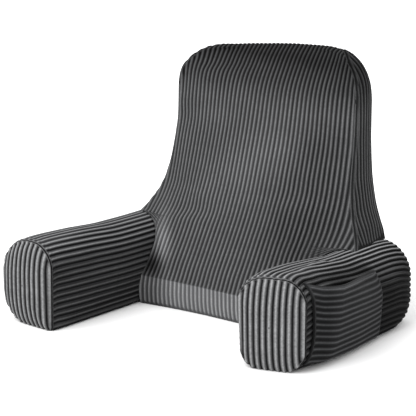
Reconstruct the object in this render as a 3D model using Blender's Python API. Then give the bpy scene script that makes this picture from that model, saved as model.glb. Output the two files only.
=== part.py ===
"""Reading pillow with arms, sewn from wide-wale corduroy velvet and filled.

A tall back cushion stands between two bolster arms. Every piece is one closed
solid: the back, two arms, a domed cap on the front end of each arm, and a
pocket sewn to the outer side of the right arm. The ribs of the cloth are
raised in the faces. Metres, +Z up, the seat opens towards -Y, and +X is the
right-hand side seen from the front. The origin is on the floor, in the middle
of the back cushion's base.
"""

import math

import bmesh
import bpy
import numpy as np

# Driving sizes
FRONT_LINE_Y = -0.110       # the back's bottom front line; depths in the tables start there
PIECE_GAP = 0.0003          # between two pieces that meet
SOFT_GAP = 0.0024           # between the smooth forms of the back and an arm
WELD = 0.00002
SHARP_ANGLE = 30.0

# Corduroy
PANEL_PITCH = 0.0100        # ribs on the back
PANEL_RIBS = 53
ARM_PITCH = 0.0120          # ribs along the arms and the pocket
CAP_PITCH = 0.0135          # upright ribs on the end caps
RIB_HEIGHT = 0.0022         # crest above valley
SEAM_FADE = 0.006           # ribs flatten over this distance beside a seam

# Back cushion: one row for each level of the front panel.
# height, half_width, then the depth of the panel at its middle and its two seams,
# how late the crown falls away to the seams, and the rear panel's narrowing.
# The first rows stand between the arms, whose shoulder gives their half width.
BACK_COLUMNS = ("height", "half_width", "middle", "left", "right", "power", "rear_inset")
BACK_ROWS = (
    (0.0000, 0.0000, 0.0040, -0.0130, 0.0130, 2.0, 0.000),
    (0.0090, 0.0000, -0.0010, -0.0180, 0.0090, 2.0, 0.000),
    (0.0320, 0.0000, -0.0060, -0.0200, 0.0060, 2.0, 0.000),
    (0.0590, 0.0000, -0.0040, -0.0130, 0.0070, 2.0, 0.000),
    (0.0800, 0.0000, 0.0090, 0.0050, 0.0180, 2.0, 0.000),
    (0.1120, 0.0000, 0.0290, 0.0270, 0.0420, 2.2, 0.000),
    (0.1280, 0.0000, 0.0390, 0.0385, 0.0555, 2.5, 0.000),
    (0.1430, 0.0000, 0.0475, 0.0505, 0.0700, 2.8, 0.000),
    (0.1550, 0.0000, 0.0545, 0.0610, 0.0830, 3.0, 0.000),
    (0.1620, 0.0000, 0.0585, 0.0675, 0.0915, 3.3, 0.000),
    (0.1650, 0.0000, 0.0602, 0.0705, 0.0950, 3.4, 0.000),
    (0.1674, 0.2600, 0.0615, 0.0730, 0.0980, 3.5, 0.015),
    (0.1770, 0.2525, 0.0670, 0.0830, 0.1090, 3.8, 0.010),
    (0.2000, 0.2385, 0.0790, 0.1040, 0.1210, 4.0, 0.005),
    (0.2400, 0.2265, 0.0970, 0.1220, 0.1290, 3.0, 0.005),
    (0.2900, 0.2195, 0.1130, 0.1350, 0.1370, 2.0, 0.007),
    (0.3600, 0.2180, 0.1330, 0.1480, 0.1470, 1.8, 0.009),
    (0.4230, 0.2180, 0.1470, 0.1500, 0.1500, 1.8, 0.010),
    (0.4480, 0.2140, 0.1530, 0.1480, 0.1520, 1.8, 0.010),
    (0.4660, 0.2060, 0.1580, 0.1480, 0.1550, 2.0, 0.010),
    (0.4800, 0.1930, 0.1630, 0.1510, 0.1580, 2.5, 0.010),
    (0.4920, 0.1730, 0.1680, 0.1570, 0.1630, 3.0, 0.009),
    (0.5005, 0.1460, 0.1730, 0.1650, 0.1700, 3.0, 0.007),
    (0.5035, 0.1290, 0.1760, 0.1700, 0.1740, 3.0, 0.006),
    (0.5055, 0.1090, 0.1790, 0.1740, 0.1770, 3.0, 0.005),
)
WING_ROW = 11               # the row at the lower tips of the boxing strip
KICK_ROWS = 4               # the rows of the upright band below the fold
SEAT_DEPTH = 0.100          # the back's half width follows the arm's outline at this depth
TOP_SLANT = 0.080           # rise of the top for each metre towards +X
SLANT_START = 0.300
REAR_DEPTH = 0.216          # depth of the rear seam
REAR_CROWN = 0.014          # the rear panel swells by this,
REAR_CROWN_FOOT = 0.060     # grows to it over this height
REAR_CROWN_END = 0.380      # and loses it above this one
REAR_CROWN_FADE = 0.130
REAR_TOP_DROP = 0.003
STRIP_BULGE = 0.008         # the boxing strip swells between its seams
STRIP_RIBS = 15
WING_FADE = 0.030           # the strip's swelling starts over this height
WING_DROOP = 0.050          # the rows above the wings follow the arm's fall over this height
BORDER_REACH = 0.006        # the outline's direction is taken over this length to each side

# Arms: stations from the front seam to the rear end. Centre depth and distance from
# the middle plane, width, turn outwards in degrees, height, and the corner radii.
ARM_COLUMNS = ("depth", "offset", "width", "turn", "height", "inner_top", "outer_top", "outer_foot")
LEFT_STATIONS = (
    (-0.253, 0.2640, 0.1260, 3.0, 0.1680, 0.045, 0.070, 0.060),
    (-0.246, 0.2640, 0.1350, 3.0, 0.1720, 0.048, 0.074, 0.060),
    (-0.222, 0.2635, 0.1400, 3.0, 0.1740, 0.050, 0.078, 0.054),
    (-0.140, 0.2610, 0.1410, 2.0, 0.1715, 0.054, 0.080, 0.044),
    (-0.040, 0.2575, 0.1400, 1.0, 0.1645, 0.056, 0.080, 0.038),
    (0.050, 0.2545, 0.1350, 0.0, 0.1630, 0.056, 0.078, 0.036),
    (0.190, 0.2530, 0.1310, 0.0, 0.1630, 0.054, 0.076, 0.036),
    (0.210, 0.2510, 0.1240, 0.0, 0.1620, 0.050, 0.073, 0.034),
    (0.222, 0.2490, 0.1120, 0.0, 0.1550, 0.045, 0.066, 0.030),
    (0.227, 0.2480, 0.0950, 0.0, 0.1440, 0.040, 0.054, 0.026),
)
RIGHT_STATIONS = (
    (-0.174, 0.2675, 0.1210, 18.0, 0.1720, 0.042, 0.036, 0.018),
    (-0.167, 0.2655, 0.1310, 17.5, 0.1770, 0.045, 0.040, 0.022),
    (-0.146, 0.2610, 0.1380, 16.0, 0.1785, 0.048, 0.046, 0.028),
    (-0.095, 0.2560, 0.1400, 10.0, 0.1760, 0.052, 0.056, 0.032),
    (-0.030, 0.2560, 0.1400, 4.0, 0.1690, 0.052, 0.070, 0.034),
) + LEFT_STATIONS[5:]
INNER_FOOT = 0.014          # radius of the inner bottom corner
SIDE_BULGE = 0.003
ARC_POINTS = 25
GIRTH_STATION = 3           # the ribs are counted round this station
GIRTH_POINTS = 400

# End caps
CAP_RIBS = 11
CAP_DOME = 0.018
CAP_CROWN_ACROSS = 3.2      # powers of the dome's fall to its sides
CAP_CROWN_UP = 5.0          # and to its top and foot
CAP_FOOT = 0.0006           # the caps clear the floor by this
CAP_TOP_EDGE = 0.0002       # the cap's top row is as wide as the outline this far below its top
CAP_LEVELS = (0.0, 0.02, 0.07, 0.16, 0.34, 0.56, 0.74, 0.86, 0.93, 0.975, 1.0)

# Side pocket
POCKET_FRONT = -0.146       # depth of the front seam
POCKET_TOP_LEAN = -0.018    # its upper end leans forwards by this
POCKET_FOOT_LEAN = -0.010   # and its foot by this
POCKET_REAR = 0.098         # depth of the rear seam
POCKET_REAR_LEAN = 0.022    # its foot leans backwards by this
POCKET_FOOT = 0.006
POCKET_TOP_FRONT = 0.156
POCKET_TOP_REAR = 0.134
POCKET_SAG = 0.003
POCKET_SHEET = 0.0024
POCKET_GAP = 0.0012         # between the arm's crests and the sewn edges
POCKET_BULGE = 0.022        # how far the open top stands off the arm's widest line
POCKET_CORNER = 0.42        # the bend between its two faces, along its width
POCKET_FRONT_EASE = 1.8     # powers that round the front and the rear face towards the bend
POCKET_REAR_EASE = 1.3
POCKET_RISE_POWER = 0.9     # how the bulge grows from the foot to the open top
POCKET_LEAN_START = 0.6     # shares of the height where the top's lean starts and the foot's ends
POCKET_LEAN_END = 0.35
POCKET_SIDE_FADE = 0.08     # shares of the width and the height over which the ribs rise
POCKET_FOOT_FADE = 0.06
POCKET_STEPS = 14
POCKET_RIBS = 12

CHARCOAL = (0.060, 0.061, 0.064, 1.0)
CHARCOAL_DARK = (0.045, 0.046, 0.049, 1.0)
CHARCOAL_LIGHT = (0.085, 0.086, 0.090, 1.0)


def smooth_step(value):
    """0 below 0, 1 above 1, and an even ramp between them."""
    t = np.clip(value, 0.0, 1.0)
    return t * t * (3.0 - 2.0 * t)


def table(columns, rows):
    """A dictionary of arrays, one for each named column."""
    return dict(zip(columns, np.array(rows, dtype=float).T))


def rib_wave(steps):
    """Crest and valley by turns, centred on the smooth surface."""
    return np.where(np.arange(steps) % 2 == 0, -0.5, 0.5) * RIB_HEIGHT


def resample(line, count):
    """The polyline again, as points evenly spaced along its length."""
    lengths = np.r_[0.0, np.cumsum(np.linalg.norm(np.diff(line, axis=0), axis=1))]
    at = np.linspace(0.0, lengths[-1], count)
    return np.stack([np.interp(at, lengths, line[:, i]) for i in range(line.shape[1])], axis=1)


# Arms


def arm_section(width, height, inner_top, outer_top, outer_foot):
    """Outline of an arm across its length, from the inner foot over the top to the outer foot.

    Four corner arcs in a box, with the two sides swelling a little. The first
    coordinate runs outwards from the middle of the arm, the second upwards.
    """
    half = width / 2.0
    corners = (
        (-half + INNER_FOOT, INNER_FOOT, INNER_FOOT, 270.0, 180.0),
        (-half + inner_top, height - inner_top, inner_top, 180.0, 90.0),
        (half - outer_top, height - outer_top, outer_top, 90.0, 0.0),
        (half - outer_foot, outer_foot, outer_foot, 0.0, -90.0),
    )
    points = []
    for across, up, radius, start, end in corners:
        turn = np.radians(np.linspace(start, end, ARC_POINTS))
        points.append(np.stack([across + radius * np.cos(turn), up + radius * np.sin(turn)], axis=1))
    line = np.concatenate(points)
    swell = SIDE_BULGE * np.sin(np.pi * line[:, 1] / height) * line[:, 0] / half
    line[:, 0] += swell
    return line


def outward_normals(section):
    """Unit normals of an outline in its own plane, pointing out of the arm."""
    along = np.gradient(section, axis=0)
    along /= np.linalg.norm(along, axis=1, keepdims=True)
    return np.stack([-along[:, 1], along[:, 0]], axis=1)


def station_frame(side, station):
    """Centre on the floor, and the unit directions outwards and forwards, of one station."""
    turn = math.radians(station["turn"])
    centre = np.array([side * station["offset"], FRONT_LINE_Y + station["depth"], 0.0])
    outwards = np.array([side * math.cos(turn), math.sin(turn), 0.0])
    forwards = np.array([side * math.sin(turn), -math.cos(turn), 0.0])
    return centre, outwards, forwards


def stations_of(rows):
    """The stations as dictionaries by column name."""
    return [dict(zip(ARM_COLUMNS, row)) for row in rows]


def section_of(station):
    """The outline at one station."""
    return arm_section(*(station[key] for key in ("width", "height", "inner_top", "outer_top", "outer_foot")))


def station_at(rows, depth):
    """A station between two rows of the table, at a depth."""
    columns = table(ARM_COLUMNS, rows)
    return {key: float(np.interp(depth, columns["depth"], columns[key])) for key in ARM_COLUMNS}


def arm_mesh(name, side, rows):
    """A bolster lofted through its stations, ribbed along its length, flat on the floor."""
    stations = stations_of(rows)
    widest = resample(section_of(stations[GIRTH_STATION]), GIRTH_POINTS)
    girth = np.linalg.norm(np.diff(widest, axis=0), axis=1).sum()
    steps = 2 * round(girth / ARM_PITCH) + 1
    wave = rib_wave(steps)
    wave[[0, -1]] = 0.0
    rings = []
    for index, station in enumerate(stations):
        section = resample(section_of(station), steps)
        fade = 0.0 if index in (0, len(stations) - 1) else 1.0
        lift = (wave * fade * smooth_step(section[:, 1] / SEAM_FADE))[:, None]
        section = section + outward_normals(section) * lift
        section[:, 1] = np.maximum(section[:, 1], 0.0)
        centre, outwards, _ = station_frame(side, station)
        ring = centre + section[:, :1] * outwards
        ring[:, 2] = section[:, 1]
        rings.append(ring)
    grid = np.array(rings)
    closed = np.concatenate([grid, grid[:, :1]], axis=1)
    return solid(name, grids=[closed], polygons=[grid[0], grid[-1]])


def cap_mesh(name, side, rows):
    """A domed end cap with upright ribs, standing against the arm's front end."""
    front = stations_of(rows)[0]
    outline = section_of(front)
    peak = int(np.argmax(outline[:, 1]))
    centre, outwards, forwards = station_frame(side, front)
    levels = np.array(CAP_LEVELS)
    heights = CAP_FOOT + (front["height"] - CAP_FOOT) * levels
    reached = np.minimum(heights, front["height"] - CAP_TOP_EDGE)
    inner = np.interp(reached, outline[: peak + 1, 1], outline[: peak + 1, 0])
    outer = np.interp(reached, outline[peak:, 1][::-1], outline[peak:, 0][::-1])
    steps = 2 * CAP_RIBS + 1
    across = (np.arange(steps) - (steps - 1) / 2.0) * CAP_PITCH / 2.0
    grid_u = np.clip(across[None, :], inner[:, None], outer[:, None])
    reach = np.minimum(grid_u - inner[:, None], outer[:, None] - grid_u)
    middle, half = (inner + outer) / 2.0, (outer - inner) / 2.0
    crown_u = 1.0 - np.abs((grid_u - middle[:, None]) / half[:, None]) ** CAP_CROWN_ACROSS
    crown_w = 1.0 - np.abs(2.0 * levels - 1.0) ** CAP_CROWN_UP
    dome = CAP_DOME * np.sqrt(np.clip(crown_u, 0.0, 1.0) * crown_w[:, None])
    ribs = rib_wave(steps)[None, :] * smooth_step(reach / SEAM_FADE) * np.sqrt(crown_w)[:, None]
    grid = centre + grid_u[..., None] * outwards + (PIECE_GAP + dome + ribs)[..., None] * forwards
    grid[..., 2] = heights[:, None]
    rim = np.concatenate([grid[0], grid[1:, -1], grid[-1, -2::-1], grid[-2:0:-1, 0]])
    return solid(name, grids=[grid], polygons=[rim])


# Back cushion


def shoulder_half_width(heights):
    """How far the back reaches sideways between the arms, a soft gap off their inner shoulder."""
    seat = station_at(LEFT_STATIONS, SEAT_DEPTH)
    outline = section_of(seat)
    lifted = outline + outward_normals(outline) * SOFT_GAP
    peak = int(np.argmax(lifted[:, 1]))
    from_foot = lifted[: peak + 1]
    middle = seat["offset"]
    lowest = from_foot[:, 0].min()
    first = int(np.argmin(from_foot[:, 0]))
    above = from_foot[first:]
    reach = np.interp(heights, above[:, 1], above[:, 0], left=lowest)
    return middle + reach


def wing_droop(across, above):
    """How far a point of the back hangs lower, following the arm's fall beyond its ridge."""
    seat = station_at(LEFT_STATIONS, SEAT_DEPTH)
    ridge = seat["offset"] + seat["width"] / 2.0 - seat["outer_top"]
    beyond = np.clip(np.abs(across) - ridge, 0.0, None)
    fall = seat["outer_top"] - np.sqrt(seat["outer_top"] ** 2 - beyond**2)
    share = np.where(above < 0.0, 0.0, 1.0 - smooth_step(above / WING_DROOP))
    return fall * share


def back_grids():
    """Front panel and rear panel as grids of points, rows by ribs, with the clipped ribs on the seams."""
    rows = table(BACK_COLUMNS, BACK_ROWS)
    heights, half = rows["height"], rows["half_width"].copy()
    half[:WING_ROW] = shoulder_half_width(heights[:WING_ROW])
    steps = 2 * PANEL_RIBS + 1
    columns = (np.arange(steps) - (steps - 1) / 2.0) * PANEL_PITCH / 2.0
    wave = rib_wave(steps)
    levels = len(heights)

    across = np.clip(columns[None, :], -half[:, None], half[:, None])
    ratio = across / half[:, None]
    side_depth = np.where(ratio < 0.0, rows["left"][:, None], rows["right"][:, None])
    fall = np.abs(ratio) ** rows["power"][:, None]
    depth = rows["middle"][:, None] + (side_depth - rows["middle"][:, None]) * fall
    slope = np.gradient(rows["middle"], heights)
    leaning = np.stack([np.zeros(levels), -np.ones(levels), slope], axis=1)
    leaning[:KICK_ROWS] = (0.0, -1.0, 0.0)
    leaning /= np.linalg.norm(leaning, axis=1, keepdims=True)
    ribs = wave[None, :] * smooth_step((half[:, None] - np.abs(across)) / SEAM_FADE)
    ribs[-1] = 0.0
    slant = TOP_SLANT * smooth_step((heights - SLANT_START) / (heights[-1] - SLANT_START))
    front = np.zeros((levels, steps, 3))
    front[..., 0] = across
    front[..., 1] = FRONT_LINE_Y + depth
    above = (heights - heights[WING_ROW])[:, None]
    front[..., 2] = heights[:, None] + slant[:, None] * across - wing_droop(across, above)
    front += ribs[..., None] * leaning[:, None, :]
    front[0, :, 2] = 0.0

    rear_half = half - rows["rear_inset"]
    rear_across = np.clip(columns[None, :], -rear_half[:, None], rear_half[:, None])
    rear_ratio = rear_across / rear_half[:, None]
    level_share = np.linspace(0.0, 1.0, levels)[:, None]
    crown = REAR_CROWN * (1.0 - rear_ratio**2) * smooth_step(heights[:, None] / REAR_CROWN_FOOT)
    crown *= 1.0 - smooth_step((heights[:, None] - REAR_CROWN_END) / REAR_CROWN_FADE)
    rear_ribs = wave[None, :] * smooth_step((rear_half[:, None] - np.abs(rear_across)) / SEAM_FADE)
    rear_ribs[-1] = 0.0
    rear = np.zeros((levels, steps, 3))
    rear[..., 0] = rear_across
    rear[..., 1] = FRONT_LINE_Y + REAR_DEPTH + crown + rear_ribs
    rear[..., 2] = heights[:, None] + slant[:, None] * rear_across - REAR_TOP_DROP * level_share**4
    rear[..., 2] -= wing_droop(rear_across, above)
    rear[0, :, 2] = 0.0
    return front, rear


def border_of(grid):
    """The side and top edge of a panel, up its left side, over the top and down its right side."""
    return np.concatenate([grid[:, 0], grid[-1, 1:-1], grid[::-1, -1]])


def border_normals(border):
    """Unit directions straight out of the outline, in the plane of X and Z."""
    plane = border[:, [0, 2]]
    lengths = np.r_[0.0, np.cumsum(np.linalg.norm(np.diff(plane, axis=0), axis=1))]
    ahead = np.stack([np.interp(lengths + BORDER_REACH, lengths, plane[:, i]) for i in (0, 1)], axis=1)
    behind = np.stack([np.interp(lengths - BORDER_REACH, lengths, plane[:, i]) for i in (0, 1)], axis=1)
    along = ahead - behind
    along /= np.linalg.norm(along, axis=1, keepdims=True)
    return np.stack([-along[:, 1], np.zeros(len(along)), along[:, 0]], axis=1)


def strip_grid(front, rear):
    """The boxing strip between the two panels, ribbed along its length from the rear seam.

    A rib stays at one distance from the rear seam, so the front seam cuts the
    ribs off where the strip narrows. Below its lower tips the strip lies on
    the arms and is smooth.
    """
    front_edge, rear_edge = border_of(front), border_of(rear)
    normals = border_normals(front_edge)
    count = len(front_edge)
    width = np.linalg.norm(front_edge - rear_edge, axis=1)
    steps = 2 * STRIP_RIBS + 1
    distance = np.arange(steps) * PANEL_PITCH / 2.0
    share = np.minimum(distance[None, :] / width[:, None], 1.0)
    share[:, -1] = 1.0
    order = np.arange(count)
    hidden = (order < WING_ROW) | (order >= count - WING_ROW)
    share[hidden, 1:] = 1.0
    rise = smooth_step((front_edge[:, 2] - front[WING_ROW, 0, 2]) / WING_FADE)
    swell = STRIP_BULGE * rise[:, None] * np.sin(np.pi * share)
    reach = np.minimum(share, 1.0 - share) * width[:, None]
    ribs = rib_wave(steps)[None, :] * smooth_step(reach / SEAM_FADE) * rise[:, None]
    flat = rear_edge[:, None] + (front_edge - rear_edge)[:, None] * share[..., None]
    return flat + (swell + ribs)[..., None] * normals[:, None]


def back_mesh(name):
    """The whole back as one filled cushion."""
    front, rear = back_grids()
    strip = strip_grid(front, rear)
    base = np.concatenate([front[0], rear[0, ::-1]])
    return solid(name, grids=[front, rear, strip], polygons=[base])


# Side pocket


def pocket_ease(along):
    """How far the pocket stands off along its width: two rather flat faces and a soft corner."""
    if along < POCKET_CORNER:
        return 1.0 - (1.0 - along / POCKET_CORNER) ** POCKET_FRONT_EASE
    return 1.0 - ((along - POCKET_CORNER) / (1.0 - POCKET_CORNER)) ** POCKET_REAR_EASE


def pocket_point(along, rise, skin):
    """A point of the pocket: its shares along the width and up, and its height over the inner face."""
    front = POCKET_FRONT + POCKET_FOOT_LEAN * smooth_step(1.0 - rise / POCKET_LEAN_END)
    front += POCKET_TOP_LEAN * smooth_step((rise - POCKET_LEAN_START) / (1.0 - POCKET_LEAN_START))
    rear = POCKET_REAR + POCKET_REAR_LEAN * (1.0 - rise) ** 2
    station = station_at(RIGHT_STATIONS, front + (rear - front) * along)
    outline = section_of(station)
    side_line = outline[int(np.argmax(outline[:, 1])):][::-1]
    widest = int(np.argmax(side_line[:, 0]))
    top = POCKET_TOP_FRONT + (POCKET_TOP_REAR - POCKET_TOP_FRONT) * along
    top -= POCKET_SAG * math.sin(math.pi * along)
    height = POCKET_FOOT + (top - POCKET_FOOT) * rise
    on_arm = float(np.interp(height, side_line[:, 1], side_line[:, 0]))
    wall = on_arm if height < side_line[widest, 1] else side_line[widest, 0]
    reach = on_arm + (wall - on_arm + POCKET_BULGE * rise**POCKET_RISE_POWER) * pocket_ease(along)
    centre, outwards, _ = station_frame(1.0, station)
    point = centre + (reach + RIB_HEIGHT / 2.0 + POCKET_GAP + skin) * outwards
    point[2] = height
    return point


def pocket_mesh(name):
    """The pocket as one sheet, sewn down on three sides and standing open at its top."""
    shares = np.linspace(0.0, 1.0, POCKET_STEPS)
    steps = 2 * POCKET_RIBS + 1
    rises = np.linspace(0.0, 1.0, steps)
    wave = rib_wave(steps)
    inner = np.array([[pocket_point(s, r, 0.0) for r in rises] for s in shares])
    sides = smooth_step(np.minimum(shares, 1.0 - shares) / POCKET_SIDE_FADE)
    edge = sides[:, None] * smooth_step(rises / POCKET_FOOT_FADE)
    skins = POCKET_SHEET + wave[None, :] * edge
    outer = np.array(
        [[pocket_point(s, r, skins[i, j]) for j, r in enumerate(rises)] for i, s in enumerate(shares)]
    )
    rims = [np.stack([outer[end], inner[end]]) for end in (0, -1)]
    rims += [np.stack([outer[:, end], inner[:, end]]) for end in (0, -1)]
    return solid(name, grids=[outer, inner, *rims], polygons=[])


# Objects and materials


def velvet(name, color):
    """A matt fabric finish."""
    material = bpy.data.materials.new(name)
    material.use_nodes = True
    shader = material.node_tree.nodes["Principled BSDF"]
    shader.inputs["Base Color"].default_value = color
    shader.inputs["Roughness"].default_value = 0.85
    shader.inputs["Metallic"].default_value = 0.0
    return material


def add_grid(mesh, grid):
    """The quads of a grid of points."""
    rows, columns = grid.shape[:2]
    vertices = [[mesh.verts.new(point) for point in row] for row in grid]
    for i in range(rows - 1):
        for j in range(columns - 1):
            mesh.faces.new(
                (vertices[i][j], vertices[i][j + 1], vertices[i + 1][j + 1], vertices[i + 1][j])
            )


def solid(name, grids, polygons):
    """One closed mesh from grids and flat polygons that share their edges."""
    mesh = bmesh.new()
    for grid in grids:
        add_grid(mesh, grid)
    bmesh.ops.remove_doubles(mesh, verts=mesh.verts, dist=WELD)
    for polygon in polygons:
        close_polygon(mesh, polygon)
    bmesh.ops.remove_doubles(mesh, verts=mesh.verts, dist=WELD)
    bmesh.ops.triangulate(mesh, faces=mesh.faces)
    bmesh.ops.recalc_face_normals(mesh, faces=mesh.faces)
    data = bpy.data.meshes.new(name)
    mesh.to_mesh(data)
    mesh.free()
    return data


def close_polygon(mesh, polygon):
    """One flat face through points that may repeat."""
    kept = [point for i, point in enumerate(polygon) if np.linalg.norm(point - polygon[i - 1]) > WELD]
    mesh.faces.new([mesh.verts.new(point) for point in kept])


def place(name, data, material):
    """A named object with its own material."""
    data.materials.append(material)
    data.shade_smooth()
    data.set_sharp_from_angle(angle=math.radians(SHARP_ANGLE))
    thing = bpy.data.objects.new(name, data)
    bpy.context.scene.collection.objects.link(thing)
    return thing


def main():
    """Every piece of the pillow."""
    for thing in list(bpy.data.objects):
        bpy.data.objects.remove(thing, do_unlink=True)
    place("back_cushion", back_mesh("back_cushion"), velvet("back_velvet", CHARCOAL))
    for side, word, rows in ((-1.0, "left", LEFT_STATIONS), (1.0, "right", RIGHT_STATIONS)):
        arm, cap = f"{word}_arm", f"{word}_end_cap"
        place(arm, arm_mesh(arm, side, rows), velvet(f"{arm}_velvet", CHARCOAL_DARK))
        place(cap, cap_mesh(cap, side, rows), velvet(f"{cap}_velvet", CHARCOAL_LIGHT))
    place("side_pocket", pocket_mesh("side_pocket"), velvet("pocket_velvet", CHARCOAL_DARK))


main()
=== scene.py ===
"""Reading pillow with arms, in charcoal wide-wale corduroy velvet.

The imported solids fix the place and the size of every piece. Here each filled
piece is made again as one closed skin. Its smooth form is a surface worked out
on grids. A cloth simulation of a coarse cage swells it between its seams, and
the wales of the corduroy are then raised in it. Metres, +Z up, the seat opens
towards -Y.
"""

import logging
import math
from abc import ABC, abstractmethod
from dataclasses import astuple, dataclass, fields
from enum import Enum
from typing import Optional

import bmesh
import bpy
import numpy as np
from mathutils import Matrix, Vector


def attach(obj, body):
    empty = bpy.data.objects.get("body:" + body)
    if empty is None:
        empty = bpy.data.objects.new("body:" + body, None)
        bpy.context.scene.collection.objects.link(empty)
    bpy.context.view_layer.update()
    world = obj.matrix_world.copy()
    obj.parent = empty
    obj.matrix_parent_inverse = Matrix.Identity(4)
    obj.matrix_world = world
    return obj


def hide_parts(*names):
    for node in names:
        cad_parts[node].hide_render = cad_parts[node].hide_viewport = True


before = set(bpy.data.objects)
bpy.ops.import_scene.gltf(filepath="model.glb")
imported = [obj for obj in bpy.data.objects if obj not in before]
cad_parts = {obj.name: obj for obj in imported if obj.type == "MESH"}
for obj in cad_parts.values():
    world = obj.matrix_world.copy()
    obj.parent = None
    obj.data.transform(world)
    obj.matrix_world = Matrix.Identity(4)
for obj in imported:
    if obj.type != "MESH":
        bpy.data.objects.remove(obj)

Grid = np.ndarray
Colour = tuple[float, float, float]
LOG = logging.getLogger("reading_pillow")

FRONT_LINE_Y = -0.110       # depths in the tables start at the back's bottom front line
SEAM_GAP = 0.0012           # between the smooth forms of the back and an arm
TIP_PRESS = 0.0030          # the back's lower tips press this far into the arms
PIECE_GAP = 0.0003          # between an arm and what is sewn to it
FLOOR_FADE = 0.010          # wales flatten over this height above the floor
SEAM_GROOVE = 0.0012        # a skin's edge stops this far from the next one's
TINY = 1e-12                # keeps a division from being one by zero

WANDER_WAVES = 6            # waves in a random field
WANDER_SPREAD = (0.6, 1.7)  # their shortest and longest length, in mean lengths
WANDER_GAIN = 1.4           # brings their mean to about -1 to 1
GRAIN_WAY = (0.37, 0.61, 0.70)  # the cloth's unevenness is read along this way and across the wales
GRAIN_WAVES = ((0.13, 0.7, 0), (0.035, 0.3, 50))  # its fields: wavelength, weight and what the seed gains


# ---------------------------------------------------------------- numbers


def smooth_step(value: Grid) -> Grid:
    """0 below 0, 1 above 1, and an even ramp t * t * (3 - 2t) between them."""
    t = np.clip(value, 0.0, 1.0)
    return t * t * (3.0 - 2.0 * t)


@dataclass(frozen=True)
class Ramp:
    """A smooth rise from 0 to 1 over a length that begins at start."""

    start: float
    length: float

    def on(self, value: Grid) -> Grid:
        """The smooth step of (value - start) / length."""
        return smooth_step((value - self.start) / self.length)


def flow(at: Grid, knots: Grid, values: Grid) -> Grid:
    """A smooth curve through values at rising knots that never overshoots them.

    Between two knots it is a cubic. Its slope at a knot is the harmonic mean of
    the straight slopes on both sides, or 0 where those change sign.

    Args:
        at: Where the curve is wanted.
        knots: The places of the values.
        values: The values themselves.

    Returns:
        The curve's values at those places.
    """
    knots, values = np.asarray(knots, float), np.asarray(values, float)
    step = np.diff(knots)
    slope = np.diff(values) / step
    before, after = slope[:-1], slope[1:]
    steady = before * after > 0.0
    inner = np.where(steady, 2.0 * before * after / np.where(steady, before + after, 1.0), 0.0)
    slopes = np.r_[slope[0], inner, slope[-1]]
    index = np.clip(np.searchsorted(knots, at, side="right") - 1, 0, len(step) - 1)
    t = np.clip((at - knots[index]) / step[index], 0.0, 1.0)
    low = (1.0 + 2.0 * t) * (1.0 - t) ** 2 * values[index] + t * t * (3.0 - 2.0 * t) * values[index + 1]
    bend = t * (1.0 - t) ** 2 * slopes[index] + t * t * (t - 1.0) * slopes[index + 1]
    return low + bend * step[index]


def columns_of(names: tuple[str, ...], rows: tuple[tuple[float, ...], ...]) -> dict[str, Grid]:
    """A table's columns by name."""
    return dict(zip(names, np.array(rows, dtype=float).T))


def wander(first: Grid, second: Grid, wavelength: float, seed: int) -> Grid:
    """A gentle random field between about -1 and 1: crossed waves of seeded ways, lengths and phases.

    Args:
        first: One coordinate, in metres.
        second: The other coordinate, in metres.
        wavelength: The waves' mean length, in metres.
        seed: Picks the field.

    Returns:
        The field at every pair of coordinates.
    """
    draw = np.random.default_rng(seed)
    total = np.zeros(np.broadcast(first, second).shape)
    for _ in range(WANDER_WAVES):
        turn, phase = draw.uniform(0.0, 2.0 * math.pi, 2)
        rate = 2.0 * math.pi / (wavelength * draw.uniform(*WANDER_SPREAD))
        total += np.sin(rate * (first * math.cos(turn) + second * math.sin(turn)) + phase)
    return total * WANDER_GAIN / WANDER_WAVES


def evenly(lines: Grid, count: int) -> Grid:
    """Each polyline again as points evenly spaced along its length.

    Args:
        lines: Lines by points by coordinates.
        count: How many points each new line has.

    Returns:
        Lines by count by coordinates.
    """
    steps = np.linalg.norm(np.diff(lines, axis=1), axis=2)
    lengths = np.concatenate([np.zeros((len(lines), 1)), np.cumsum(steps, axis=1)], axis=1)
    share = np.linspace(0.0, 1.0, count)
    made = [
        np.stack([np.interp(share * length[-1], length, line[:, i]) for i in range(line.shape[1])], axis=1)
        for length, line in zip(lengths, lines)
    ]
    return np.array(made)


def nearest(points: Grid, line: Grid) -> Grid:
    """The distance from every point of a grid to the nearest point of a line."""
    return np.array([np.linalg.norm(row[:, None] - line[None], axis=2).min(axis=1) for row in points])


def spread(grid: Grid, at: Grid, to: Grid, columns: int, closed: bool) -> Grid:
    """A grid of points again with other rows and columns, by cubic steps along both of its ways.

    Rows follow a curve through the old ones at their places. Between two
    columns the curve leans on the next ones to both sides; a closed grid's
    columns run round, so its last one is followed by its first.

    Args:
        grid: Rows by columns by coordinates.
        at: The old rows' places.
        to: The new rows' places.
        columns: The new number of columns.
        closed: Whether the columns run round.

    Returns:
        The new grid.
    """
    flat = grid.reshape(len(grid), -1)
    tall = np.stack([flow(to, at, line) for line in flat.T], axis=1).reshape(len(to), *grid.shape[1:])
    size = grid.shape[1]
    place = np.arange(columns) * (size / columns if closed else (size - 1) / (columns - 1))
    base = np.floor(place).astype(int)
    if not closed:
        base = np.minimum(base, size - 2)
    t = (place - base)[None, :, None]
    picks = [base + shift for shift in (-1, 0, 1, 2)]
    picks = [pick % size if closed else np.clip(pick, 0, size - 1) for pick in picks]
    a, b, c, d = (tall[:, pick] for pick in picks)
    square = t * t
    cube = square * t
    return 0.5 * (
        2.0 * b + (c - a) * t + (2.0 * a - 5.0 * b + 4.0 * c - d) * square
        + (3.0 * (b - c) + d - a) * cube
    )


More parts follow.
